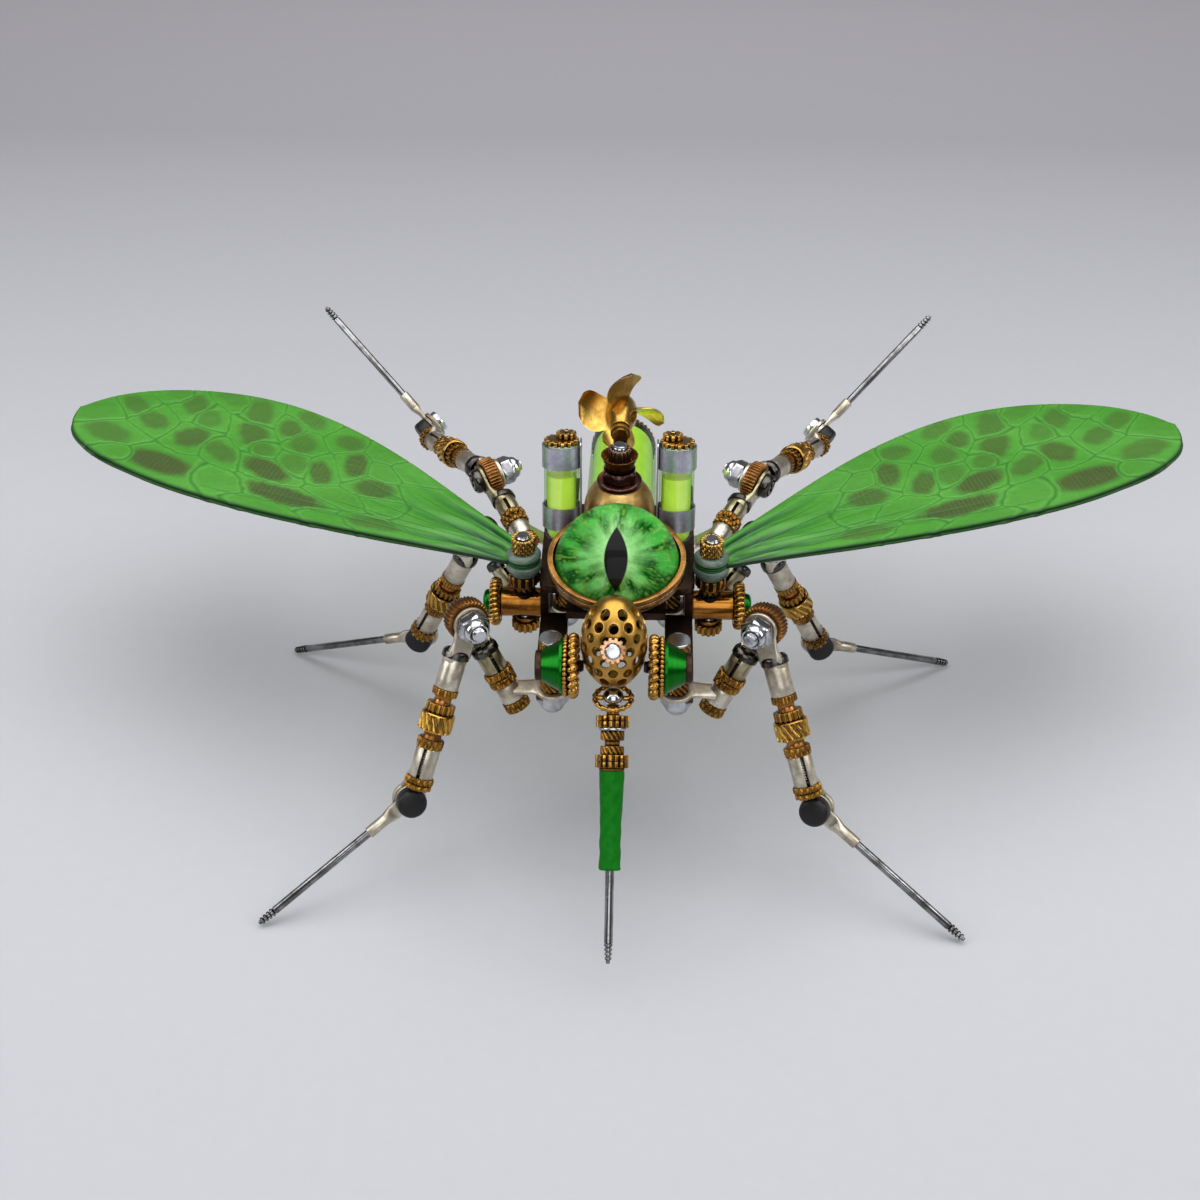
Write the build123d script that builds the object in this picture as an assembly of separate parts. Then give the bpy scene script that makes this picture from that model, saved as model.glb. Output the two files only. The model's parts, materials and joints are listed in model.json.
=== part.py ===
"""Mechanical mosquito model kit: crimp-lug legs, brass collars, glass vials, printed wings.

Millimetres, +Z up, standing on the floor plane z = 0, head toward -Y.
Coordinates are measured from the wing cross tubes (y = 0) and the finished
shapes are moved by MIDDLE_SHIFT so that the footprint is centred on the origin.
"""
import os
from math import cos, pi, radians, sin

from build123d import *

os.makedirs("parts", exist_ok=True)

# ---- overall -------------------------------------------------------------
MIDDLE_SHIFT = -15.9
GAP = 0.1

# ---- fasteners -----------------------------------------------------------
M3_SHANK = 1.45
M3_BORE = 1.55
M3_NUT_AF = 5.5
PAN_R = 2.7
PAN_H = 1.8

# ---- crimp lugs ----------------------------------------------------------
LUG_RING_R = 3.3
LUG_THICK = 0.8
LUG_WIDTH = 3.4
BARREL_R = 2.35
BARREL_MID = 1.95
SLIT = 0.5

# ---- legs: hip ring, femur end, knee, ankle, tip on the right side -------
HIP_Z = 37.9
FRONT_LEG = dict(hip=(12.0, -19.4, HIP_Z), end=(18.4, -19.0, 32.5), knee=(28.3, -15.1, 51.1),
                 bolt=(-0.45, -0.88, 0.12), ankle=(39.4, -30.1, 18.4), tip=(68.4, -45.7, 0.8))
MIDDLE_LEG = dict(hip=(10.5, 8.0, HIP_Z), end=(16.4, 7.8, 34.2), knee=(29.0, 16.8, 48.6),
                  bolt=(0.55, -0.83, 0.06), ankle=(43.5, 25.6, 15.6), tip=(74.8, 39.5, 0.8))
HIND_LEG = dict(hip=(12.6, 31.0, HIP_Z), end=(19.0, 26.0, 39.0), knee=(29.0, 44.8, 45.0),
                bolt=(-0.87, 0.46, 0.15), ankle=(45.9, 78.0, 37.5), tip=(70.6, 93.9, 61.5))
WHEEL_R = 4.2
WHEEL_H = 2.9
TUBE_START = 7.8
FEMUR_SPLIT_END = 12.0
FEMUR_LOW_START = 15.2
FEMUR_LOW_END = 19.0
TIBIA_UPPER_END = 14.0
TIBIA_LENGTH = 37.7
TIBIA_LOWER_START = 26.0
TIBIA_LOWER_END = 32.0
ANKLE_OFFSET = 2.7
CAP_R = 2.9
FERRULE_R = 1.15
SPRING_BAR_R = 0.8

# ---- trunk ---------------------------------------------------------------
DECK_Z = 50.0
DECK_T = 1.6
DECK_TOP = DECK_Z + DECK_T
SIDE_X = 13.3
SIDE_T = 1.6
TUBE_Z = 44.2
SPACER_FOOT = 42.4
SPACER_TOP = 44.6
CROSS_R = 2.9
POST_X = 18.3
BEZEL_R = 13.3
BEZEL_H = 4.2
BEZEL_TILT = 8.0
BEZEL_AT = (0.0, -6.4, 60.1)
GLASS_R = 11.9
GLASS_RISE = 10.3
DOME_Y = 15.0
VIAL_AT = (11.3, 8.0, 52.0)
VIAL_LEAN = 13.0
VIAL_R = 3.45
VIAL_L = 21.0
LIQUID_TOP = 14.6
ABDOMEN_FROM = (0.0, 24.8, 45.6)
ABDOMEN_TO = (0.0, 68.5, 39.4)
ABDOMEN_R = 7.5
PROP_AXIS_Z = 70.0
PROP_Y = 30.6

# ---- head ----------------------------------------------------------------
EGG_AT = (0.0, -27.5, 56.0)
EGG_AXIS = (0.0, 0.3, 0.954)
EGG_R = 6.15
EGG_HALF = 8.8
EGG_WALL = 0.5
EYE_Y = -28.3
EYE_Z = 50.8
NOSE_AT = (0.0, -30.6, 45.2)
NOSE_TIP = (0.0, -62.5, 9.0)

# ---- wings ---------------------------------------------------------------
WING_Z = 54.2
WING_SHEET = 0.3
WING_SWEEP = 25.0
WING_FRONT = ((2.0, -2.6), (30.0, -6.6), (66.0, -10.3), (96.0, -8.2), (112.5, -0.8))
WING_TIP = (116.5, 6.6)
WING_REAR = ((112.0, 15.0), (99.0, 24.0), (78.0, 28.6), (54.0, 25.2), (26.0, 14.6), (3.5, 4.6))


def unit(p, q):
    """Unit vector from p to q."""
    return (Vector(*q) - Vector(*p)).normalized()


def square_to(v, w):
    """Unit vector nearest to v that is perpendicular to w."""
    return (v - w * v.dot(w)).normalized()


def stand(origin, axis, toward=(0, 0, 1)):
    """Location at origin with local Z along axis and local X near toward."""
    z = Vector(*axis).normalized()
    t = Vector(*toward)
    if abs(z.dot(t.normalized())) > 0.98:
        t = Vector(1, 0, 0)
    return Plane(origin=Vector(*origin), x_dir=square_to(t, z), z_dir=z).location


def disc(r, z0, z1, bore=0.0):
    """Plain round disc or bush from z0 to z1."""
    body = Pos(0, 0, (z0 + z1) / 2) * Cylinder(r, z1 - z0)
    if bore:
        body -= Pos(0, 0, (z0 + z1) / 2) * Cylinder(bore, z1 - z0 + 1)
    return body


def knurl(r, z0, z1, teeth=20, bore=M3_BORE, depth=0.35):
    """Straight-knurled collar from z0 to z1."""
    points = []
    for k in range(2 * teeth):
        radius = r if k % 2 == 0 else r - depth
        points.append((radius * cos(pi * k / teeth), radius * sin(pi * k / teeth)))
    body = Pos(0, 0, z0) * extrude(Polygon(*points, align=None), amount=z1 - z0)
    return body - Pos(0, 0, (z0 + z1) / 2) * Cylinder(bore, z1 - z0 + 1)


def hexagon(across_flats, z0, z1, bore):
    """Hexagonal nut body from z0 to z1."""
    sketch = RegularPolygon(across_flats / 2, 6, major_radius=False)
    body = Pos(0, 0, z0) * extrude(sketch, amount=z1 - z0)
    return body - Pos(0, 0, (z0 + z1) / 2) * Cylinder(bore, z1 - z0 + 1)


def lock_nut(z0):
    """M3 lock nut: hexagon with a round crown around the thread."""
    crown = Pos(0, 0, z0 + 3.3) * Cone(2.5, 2.0, 1.4)
    body = hexagon(M3_NUT_AF, z0, z0 + 2.7, 0.5) + crown
    return body - Pos(0, 0, z0 + 2) * Cylinder(1.5, 6)


def acorn_nut(z0):
    """Domed cap nut hanging below z0 with a blind thread bore."""
    dome = Pos(0, 0, z0 - 2.2) * Sphere(2.6)
    body = hexagon(M3_NUT_AF, z0 - 2.3, z0, 0.3) + (dome & Pos(0, 0, z0 - 3.5) * Cylinder(2.6, 3.0))
    return body - Pos(0, 0, z0 - 1) * Cylinder(1.5, 4.2)


def pan_head(z0, up=1):
    """Pan head with a cross recess; its flat side sits at z0."""
    head = Pos(0, 0, z0 + up * PAN_H / 2) * Cylinder(PAN_R, PAN_H)
    top = head.edges().filter_by(GeomType.CIRCLE).sort_by(Axis.Z)[-1 if up > 0 else 0]
    head = fillet(top, 0.8)
    slot = Box(2.6, 0.5, 1.2) + Box(0.5, 2.6, 1.2)
    return head - Pos(0, 0, z0 + up * PAN_H) * slot


def strap(p, q, normal, width=LUG_WIDTH):
    """Flat lug tongue from p to q whose broad face looks along normal."""
    along = (q - p).normalized()
    face = square_to(normal, along)
    place = Plane(origin=(p + q) * 0.5, x_dir=along, z_dir=face).location
    return place * Box((q - p).length, width, LUG_THICK)


def lug_ring(centre, axis):
    """Flat eyelet ring."""
    return stand(centre, axis) * Cylinder(LUG_RING_R, LUG_THICK)


def eyelet_bore(centre, axis):
    """Cutter for the hole of an eyelet ring."""
    return stand(centre, axis) * Cylinder(M3_BORE, 3)


def barrel(frame, z0, z1):
    """Crimp barrel from z0 to z1, still without its bore."""
    return frame * disc(BARREL_R, z0, z1)


def barrel_bore(frame, z0, z1, seam_angle=None):
    """Cutter for the barrel bore and, when asked for, its open seam."""
    cutter = disc(M3_BORE, z0 - 1, z1 + 1)
    if seam_angle is not None:
        seam = Pos(2, 0, (z0 + z1) / 2) * Box(3, SLIT, z1 - z0 + 1)
        cutter = cutter + Rot(0, 0, seam_angle) * seam
    return frame * cutter


def mirrored(leg, side):
    """Leg points for the right (+1) or left (-1) side."""
    return {key: Vector(side * v[0], v[1], v[2]) for key, v in leg.items()}


def leg_frames(leg, side):
    """Joint centres and axes of one leg."""
    p = mirrored(leg, side)
    a = p["bolt"].normalized()
    tarsus = (p["tip"] - p["ankle"]).normalized()
    rough = (p["ankle"] - p["knee"]).normalized()
    b = rough.cross(tarsus).normalized()
    if b.Y > 0:
        b = b * -1
    tube_end = p["ankle"] + b * ANKLE_OFFSET
    p.update(a=a, b=b, tube_end=tube_end, tarsus=tarsus)
    p["femur_dir"] = (p["end"] - p["knee"]).normalized()
    p["tibia_dir"] = (tube_end - p["knee"]).normalized()
    p["b"] = square_to(b, p["tibia_dir"])
    p["stretch"] = (tube_end - p["knee"]).length - TIBIA_LENGTH
    p["ankle"] = tube_end - p["b"] * ANKLE_OFFSET
    p["tarsus"] = square_to(p["tip"] - p["ankle"], p["b"])
    return p


def femur_lugs(p):
    """Femur body: two crimp lugs, axial screw, knee bolt and lock nut."""
    a = p["a"]
    d = p["femur_dir"]
    frame = stand(p["knee"], d, a)
    side = square_to(a, d)
    ring = p["knee"] - a * 1.95
    bend = ring + square_to(d, a) * 4.6
    root = p["knee"] + d * (TUBE_START + 0.6) - side * BARREL_MID
    upper = lug_ring(ring, a) + strap(ring, bend, a) + strap(bend, root, a)
    upper += barrel(frame, TUBE_START, FEMUR_SPLIT_END)
    upper -= barrel_bore(frame, TUBE_START, FEMUR_SPLIT_END, 0)
    upper -= eyelet_bore(ring, a)
    middle = p["knee"] + d * (FEMUR_LOW_START + FEMUR_LOW_END) / 2
    inward = square_to(p["hip"] - middle, d)
    low_root = middle + inward * BARREL_MID
    up = Vector(0, 0, 1)
    flat_end = p["hip"] + square_to(low_root - p["hip"], up) * 3.4
    lower = lug_ring(p["hip"], up) + strap(p["hip"], flat_end, up, 2.6) + strap(flat_end, low_root, up, 2.6)
    lower += barrel(frame, FEMUR_LOW_START, FEMUR_LOW_END)
    lower -= barrel_bore(frame, FEMUR_LOW_START, FEMUR_LOW_END)
    lower -= eyelet_bore(p["hip"], up)
    axial = Pos(0, 0, (TUBE_START + 21) / 2) * Cylinder(M3_SHANK, 21 - TUBE_START)
    axial = frame * (pan_head(TUBE_START, -1) + axial)
    knee = stand(p["knee"], a)
    bolt = knee * (pan_head(-2.45, -1) + disc(M3_SHANK, -2.5, 7.3))
    nut = knee * lock_nut(2.45)
    return [upper, lower, axial, bolt, nut]


def femur_collars(p):
    """Brass parts of the femur: knee wheel, twin collar and end collar."""
    frame = stand(p["knee"], p["femur_dir"], p["a"])
    wheel = stand(p["knee"], p["a"]) * knurl(WHEEL_R, -WHEEL_H / 2, WHEEL_H / 2, 32, M3_BORE, 0.25)
    first = frame * knurl(2.9, 12.0, 13.5, 18)
    second = frame * knurl(2.8, 13.6, 15.2, 18)
    last = frame * knurl(2.6, 19.0, 21.2, 18, 1.5)
    return [wheel, first, second, last]


def tibia_lugs(p):
    """Tibia body: two crimp lugs and the axial screw."""
    a = p["a"]
    b = p["b"]
    d = p["tibia_dir"]
    frame = stand(p["knee"], d, a)
    side = square_to(a, d)
    length = TIBIA_LENGTH + p["stretch"]
    low = p["knee"] + d * p["stretch"]
    ring = p["knee"] + a * 1.95
    root = p["knee"] + d * (TUBE_START + 0.6) + side * BARREL_MID
    bend = ring + square_to(d, a) * 4.6
    upper = lug_ring(ring, a) + strap(ring, bend, a) + strap(bend, root, a)
    upper += barrel(frame, TUBE_START, TIBIA_UPPER_END)
    upper -= barrel_bore(frame, TUBE_START, TIBIA_UPPER_END)
    upper -= eyelet_bore(ring, a)
    ring = p["tube_end"] - b * (ANKLE_OFFSET + 0.9)
    start = low + d * (TIBIA_LOWER_START + 2.6) - b * BARREL_MID
    step = low + d * (TIBIA_LOWER_START + 5.4) - b * (ANKLE_OFFSET + 0.9)
    frame_low = stand(low, d, a)
    lower = lug_ring(ring, b) + strap(step - d * 0.3, ring, b) + strap(start, step, b)
    lower += barrel(frame_low, TIBIA_LOWER_START, TIBIA_LOWER_END)
    lower -= barrel_bore(frame_low, TIBIA_LOWER_START, TIBIA_LOWER_END)
    lower -= eyelet_bore(ring, b)
    shank = Pos(0, 0, (TUBE_START + length - 3.2) / 2) * Cylinder(M3_SHANK, length - 3.2 - TUBE_START)
    axial = frame * (pan_head(TUBE_START, -1) + shank)
    return [upper, lower, axial]


def tibia_collars(p):
    """Brass collars, gear and spacers threaded along the tibia."""
    frame = stand(p["knee"], p["tibia_dir"], p["a"])
    low = p["stretch"]
    stack = [
        knurl(2.5, 14.0, 15.4, 20),
        disc(1.9, 15.4, 17.0, M3_BORE),
        knurl(2.8, 17.0, 18.9, 20),
        knurl(3.3, 18.9, 22.6, 16, M3_BORE, 0.45),
        disc(2.0, 22.6, 24.1 + low, M3_BORE),
        knurl(2.6, 24.1 + low, 26.0 + low, 20),
        knurl(2.8, 32.0 + low, 33.2 + low, 18),
        knurl(2.7, 33.3 + low, 34.4 + low, 18),
    ]
    return [frame * piece for piece in stack]


def tarsus(p):
    """Tarsus: flat lug with ferrule, spring bar with ringed tip, ankle bolt and black cap."""
    b = p["b"]
    t = p["tarsus"]
    ankle = p["ankle"]
    length = (p["tip"] - ankle).length
    frame = stand(ankle, t, b)
    lug = stand(ankle, b) * Cylinder(CAP_R, LUG_THICK)
    lug += strap(ankle, ankle + t * 6.4, b, 2.6)
    lug += frame * disc(FERRULE_R, 5.6, 10.2)
    lug -= eyelet_bore(ankle, b)
    lug -= frame * disc(SPRING_BAR_R + 0.02, 6.6, 12)
    rod = disc(SPRING_BAR_R, 6.6, length - 3.6)
    rod += Pos(0, 0, length - 1.8) * Cone(0.6, 0.4, 3.6)
    for k in range(4):
        rod += disc(SPRING_BAR_R + 0.05 - 0.05 * k, length - 3.4 + 0.8 * k, length - 3.0 + 0.8 * k)
    hinge = stand(ankle, b)
    bolt = hinge * (disc(2.6, -2.7, -1.4) + disc(M3_SHANK, -1.5, 2.6))
    cap = disc(CAP_R, 0.5, 3.5)
    cap = fillet(cap.edges().filter_by(GeomType.CIRCLE).sort_by(Axis.Z)[-1], 0.9)
    cap = hinge * (cap - disc(1.5, 0.4, 2.7))
    return [lug, frame * rod, bolt, cap]


def chassis():
    """Dark frame: deck, side plates, hip posts, standoffs, neck block and stand socket."""
    deck = Pos(0, 14.65, DECK_Z + DECK_T / 2) * Box(30.4, 39.3, DECK_T)
    deck = fillet(deck.edges().filter_by(Axis.Z), 3.0)
    deck += Pos(0, -8.5, DECK_Z + DECK_T / 2) * Box(19.0, 9.0, DECK_T)
    deck += Pos(0, -17.5, DECK_Z + DECK_T / 2) * Box(10.0, 11.0, DECK_T)
    deck -= Pos(0, 36.4, DECK_Z) * Box(17.6, 24.0, 10)
    for side in (-1, 1):
        plate = Box(SIDE_T, 15.0, DECK_Z - 39.4)
        deck += Pos(side * (SIDE_X + SIDE_T / 2), 2.5, (DECK_Z + 39.4) / 2) * plate
        arm = Box(5.4, 18.0, SPACER_TOP - SPACER_FOOT)
        deck += Pos(side * 12.2, -13.0, (SPACER_TOP + SPACER_FOOT) / 2) * arm
    deck += Pos(0, DOME_Y, 53.3) * Cylinder(4.4, 4.0)
    boss = stand(BEZEL_AT, (0, -sin(radians(BEZEL_TILT)), cos(radians(BEZEL_TILT))))
    deck += boss * disc(5.0, -BEZEL_H - 4.8, -BEZEL_H)
    deck += Pos(0, -21.9, 49.2) * Box(5.0, 2.0, 3.2)
    deck += Pos(0, 6.5, 46.0) * Cylinder(4.5, 8.2)
    deck -= Pos(0, 6.5, 45.0) * Cylinder(1.25, 8.2)
    deck -= Pos(0, DOME_Y, 52) * Cylinder(1.25, 8)
    for side in (-1, 1):
        deck -= Pos(side * SIDE_X, 0, TUBE_Z) * Rot(0, 90, 0) * Cylinder(1.05, 8)
        for leg in (FRONT_LEG, MIDDLE_LEG, HIND_LEG):
            deck -= Pos(side * leg["hip"][0], leg["hip"][1], DECK_Z) * Cylinder(M3_BORE, 16)
    screw = head_line()
    deck -= screw * disc(M3_BORE, 4.0, 12.0)
    return [deck]


def head_line():
    """Location on the head screw: its Z runs back and down toward the neck block."""
    return stand((0, -28.4, 54.7), (0, 0.80, -0.60))


def hip_posts():
    """Hip hardware of all six legs: screw, knurled spacers and cap nut below the ring."""
    pieces = []
    for side in (-1, 1):
        for leg in (FRONT_LEG, MIDDLE_LEG, HIND_LEG):
            place = Pos(side * leg["hip"][0], leg["hip"][1], 0)
            top = HIP_Z + LUG_THICK / 2 + GAP
            pieces.append(place * knurl(2.3, top, SPACER_FOOT, 16, M3_BORE, 0.3))
            if leg is not FRONT_LEG:
                pieces.append(place * disc(1.9, SPACER_FOOT, SPACER_TOP, M3_BORE))
            pieces.append(place * knurl(2.3, SPACER_TOP, DECK_Z, 16, M3_BORE, 0.3))
    return pieces


def hip_screws():
    """Screws of the hip posts, heads on the deck, with domed cap nuts below."""
    pieces = []
    for side in (-1, 1):
        for leg in (FRONT_LEG, MIDDLE_LEG, HIND_LEG):
            place = Pos(side * leg["hip"][0], leg["hip"][1], 0)
            seat = DECK_Z if leg is FRONT_LEG else DECK_TOP
            screw = disc(M3_SHANK, 35.4, seat) + disc(2.2, seat, seat + 0.4)
            pieces.append(place * screw)
            pieces.append(place * acorn_nut(HIP_Z - LUG_THICK / 2 - GAP))
    return pieces


def bezel_frame():
    """Location of the tilted bezel rim plane."""
    return stand(BEZEL_AT, (0, -sin(radians(BEZEL_TILT)), cos(radians(BEZEL_TILT))), (1, 0, 0))


def eye_bezel():
    """Bronze cup that holds the glass eye."""
    cup = disc(BEZEL_R, -BEZEL_H, 0)
    cup = chamfer(cup.edges().filter_by(GeomType.CIRCLE).sort_by(Axis.Z)[0], 1.6)
    cup -= disc(GLASS_R + 0.05, -3.0, 1)
    return [bezel_frame() * cup]


def eye_cabochon():
    """Domed glass eye."""
    radius = (GLASS_R ** 2 + GLASS_RISE ** 2) / (2 * GLASS_RISE)
    dome = Pos(0, 0, -0.8 + GLASS_RISE - radius) * Sphere(radius)
    dome = dome & Pos(0, 0, -0.8 + GLASS_RISE / 2) * Cylinder(GLASS_R + 1, GLASS_RISE)
    return [bezel_frame() * (dome + disc(GLASS_R, -2.95, -0.8))]


def bell_dome():
    """Bronze bell behind the eye."""
    with BuildPart() as bell:
        with BuildSketch(Plane.XZ):
            with BuildLine():
                foot = Line((1.55, 55.4), (7.1, 55.4))
                wall = Spline(foot @ 1, (6.9, 58.6), (5.9, 61.2), (4.3, 63.0))
                top = Line(wall @ 1, (1.55, 63.0))
                Line(top @ 1, foot @ 0)
            make_face()
        revolve(axis=Axis.Z)
    return [Pos(0, DOME_Y, 0) * bell.part]


def dome_nuts():
    """Flange nut, cup washer, knurled nut and screw on the bell."""
    place = Pos(0, DOME_Y, 0)
    flange = disc(4.5, 63.1, 64.0, 1.5) + hexagon(6.4, 64.0, 66.4, 1.5)
    cup = Pos(0, 0, 68.0) * Cone(2.6, 3.7, 3.0) - Pos(0, 0, 68.8) * Cone(2.6, 3.4, 1.8)
    cup -= Pos(0, 0, 67) * Cylinder(1.5, 4)
    nut = knurl(2.25, 68.0, 71.2, 16, 1.5, 0.3)
    screw = disc(M3_SHANK, 55.5, 72.0)
    return [place * piece for piece in (flange, cup, nut, screw)]


def propeller():
    """Four-blade boat propeller turning on a fore-and-aft shaft."""
    hub = Pos(0, 0, -4.3) * Cone(2.1, 3.2, 4.6) + Pos(0, 0, 0.2) * Cylinder(3.2, 4.4)
    hub += Pos(0, 0, 2.4) * Cone(3.2, 2.4, 1.0, align=(Align.CENTER, Align.CENTER, Align.MIN))
    blade = Pos(5.7, 0, 0) * Cylinder(3.5, 0.8) & Pos(5.9, 0, 0) * Box(6.4, 7.2, 2)
    blade = Rot(40, 0, 0) * blade
    for k in range(4):
        hub += Rot(0, 0, 90 * k - 5) * blade
    hub -= Pos(0, 0, -2.3) * Cylinder(1.05, 9.6)
    return [Pos(0, PROP_Y, PROP_AXIS_Z) * Rot(-90, 0, 0) * hub]


def propeller_mast():
    """Upright strip behind the bell, with the propeller shaft."""
    mast = Pos(0, 22.65, (51.6 + PROP_AXIS_Z) / 2) * Box(2.8, 0.8, PROP_AXIS_Z - 51.6)
    mast += Pos(0, 22.65, PROP_AXIS_Z) * Rot(90, 0, 0) * Cylinder(2.0, 0.8)
    mast += Pos(0, 21.3, 51.9) * Box(3.6, 3.5, 0.6)
    mast -= Pos(0, 22.65, PROP_AXIS_Z) * Rot(90, 0, 0) * Cylinder(1.0, 3)
    shaft = disc(0.95, -9.2, 2.2) + disc(1.6, -9.3, -8.5)
    shaft = Pos(0, PROP_Y, PROP_AXIS_Z) * Rot(-90, 0, 0) * shaft
    return [mast, shaft]


def vial_place(side):
    """Location of a leaning side vial; its Z runs up the glass."""
    lean = radians(VIAL_LEAN)
    return stand((side * VIAL_AT[0], VIAL_AT[1], VIAL_AT[2] + 0.9), (0, sin(lean), cos(lean)), (1, 0, 0))


def glass_vials():
    """Two round-bottomed glass tubes."""
    pieces = []
    for side in (-1, 1):
        tube = Pos(0, 0, VIAL_R) * Sphere(VIAL_R) + disc(VIAL_R, VIAL_R, VIAL_L)
        hollow = Pos(0, 0, VIAL_R) * Sphere(VIAL_R - 0.5) + disc(VIAL_R - 0.5, VIAL_R, VIAL_L + 1)
        pieces.append(vial_place(side) * (tube - hollow))
    return pieces


def vial_liquid():
    """Liquid columns inside the two side vials."""
    r = VIAL_R - 0.55
    column = Pos(0, 0, VIAL_R) * Sphere(r) + disc(r, VIAL_R, LIQUID_TOP)
    return [vial_place(side) * column for side in (-1, 1)]


def vial_clips():
    """Spring clips around each vial, joined by their back strip."""
    pieces = []
    for side in (-1, 1):
        clip = Pos(-side * 3.75, 0, 11.6) * Box(0.4, 4.4, 20.0)
        for z in (4.0, 16.4):
            band = disc(VIAL_R + 0.45, z, z + 4.4) - disc(VIAL_R + 0.05, z - 1, z + 6)
            opening = Pos(side * 0.8, 3.6, z + 2.2) * Box(4.2, 3.0, 5)
            clip += band - opening
        pieces.append(vial_place(side) * (clip - disc(VIAL_R + 0.05, -2, VIAL_L + 2)))
    return pieces


def vial_gears():
    """Watch gears closing the tops of the side vials."""
    pieces = []
    for side in (-1, 1):
        big = knurl(3.4, VIAL_L + 0.05, VIAL_L + 1.0, 14, 0.6, 0.5)
        small = Pos(-side * 0.9, 0.6, 0) * knurl(2.0, VIAL_L + 1.0, VIAL_L + 2.2, 10, 0.6, 0.4)
        pieces.append(vial_place(side) * big)
        pieces.append(vial_place(side) * small)
    return pieces


def abdomen_frame():
    """Location of the abdomen tube; its Z runs to the rear."""
    return stand(ABDOMEN_FROM, unit(ABDOMEN_FROM, ABDOMEN_TO), (0, 0, 1))


def abdomen(part):
    """Glass abdomen tube, its liquid or its two brass end caps."""
    length = (Vector(*ABDOMEN_TO) - Vector(*ABDOMEN_FROM)).length
    frame = abdomen_frame()
    if part == "glass":
        return [frame * disc(ABDOMEN_R, 1.5, length - 3.0, ABDOMEN_R - 0.7)]
    if part == "liquid":
        return [frame * disc(ABDOMEN_R - 0.75, 2.7, length - 4.2)]
    front = disc(ABDOMEN_R, 0.0, 1.45) + disc(ABDOMEN_R - 0.8, 1.4, 2.6)
    rear = knurl(ABDOMEN_R, length - 2.95, length - 1.2, 40, 0.9, 0.3)
    rear += disc(ABDOMEN_R - 0.8, length - 4.1, length - 2.9, 0.9)
    button = Pos(0, 0, length - 1.1) * Sphere(2.2) & disc(3, length - 1.1, length + 3)
    button += disc(0.85, length - 4.0, length - 1.0)
    return [frame * front, frame * rear, frame * button]


def cross_tubes():
    """Brass tubes that carry the wing posts."""
    pieces = []
    for side in (-1, 1):
        tube = Rot(0, 90, 0) * disc(CROSS_R, SIDE_X + SIDE_T, 23.0, 1.05)
        if side < 0:
            tube = Rot(0, 0, 180) * tube
        tube = Pos(0, 0, TUBE_Z) * tube
        pieces.append(tube - Pos(side * POST_X, 0, TUBE_Z) * Cylinder(M3_BORE, 8))
    return pieces


def side_gears():
    """Rope-rimmed gears and green end caps on the cross tubes."""
    pieces = []
    for side in (-1, 1):
        place = Pos(0, 0, TUBE_Z) * Rot(0, side * 90, 0)
        pieces.append(place * knurl(4.8, 23.0, 25.3, 22, 1.0, 0.5))
        cap = disc(2.4, 25.3, 26.6) + disc(0.95, 20.2, 25.4)
        cap = fillet(cap.edges().filter_by(GeomType.CIRCLE).sort_by(Axis.Z)[-1], 0.6)
        pieces.append(place * cap)
    return pieces


def wing_posts():
    """Upright wing screws with stem, gear, nuts."""
    pieces = []
    for side in (-1, 1):
        place = Pos(side * POST_X, 0, 0)
        pieces.append(place * disc(M3_SHANK, 37.6, 60.4))
        stem = knurl(2.1, 47.15, 49.4, 14, M3_BORE, 0.3)
        gear = knurl(3.0, 49.4, 51.6, 12, M3_BORE, 0.5)
        saddle = disc(2.1, 45.5, 47.15, M3_BORE) - Pos(0, 0, TUBE_Z) * Rot(0, 90, 0) * Cylinder(CROSS_R, 9)
        pieces.append(place * (stem + gear + saddle))
        pieces.append(place * knurl(2.35, 56.6, 59.8, 18, 1.5, 0.3))
        pieces.append(place * knurl(2.8, 38.2, 40.2, 14, 1.5, 0.4))
        pieces.append(place * disc(2.0, 40.2, 41.2, 1.5))
    return pieces


def wing_grommets():
    """Soft grommets above and below each wing root."""
    pieces = []
    for side in (-1, 1):
        place = Pos(side * POST_X, 0, 0)
        pieces.append(place * disc(3.5, 51.6, WING_Z - GAP, M3_BORE))
        pieces.append(place * disc(3.3, WING_Z + 2 * WING_SHEET + 0.4 + GAP, 56.6, M3_BORE))
    return pieces


def wing(side):
    """Two laminated sheets cut to the wing outline around the post bore."""
    front = Spline(*WING_FRONT, WING_TIP)
    rear = Spline(WING_TIP, *WING_REAR)
    root = Line(WING_REAR[-1], WING_FRONT[0])
    outline = make_face([front, rear, root])
    outline += Circle(3.3)
    outline -= Circle(1.7)
    sheets = []
    for k in range(2):
        sheet = extrude(outline, amount=WING_SHEET)
        sheet = Pos(POST_X, 0, WING_Z + k * (WING_SHEET + 0.2)) * Rot(0, 0, WING_SWEEP) * sheet
        sheets.append(sheet if side > 0 else mirror(sheet, Plane.YZ))
    return sheets


def egg_solid(r, half):
    """Solid egg of revolution, long axis up."""
    with BuildPart() as egg:
        with BuildSketch(Plane.XZ):
            with BuildLine():
                arc = EllipticalCenterArc((0, 0), r, half, start_angle=-90, arc_size=180)
                Line(arc @ 1, arc @ 0)
            make_face()
        revolve(axis=Axis.Z)
    return egg.part


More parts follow.
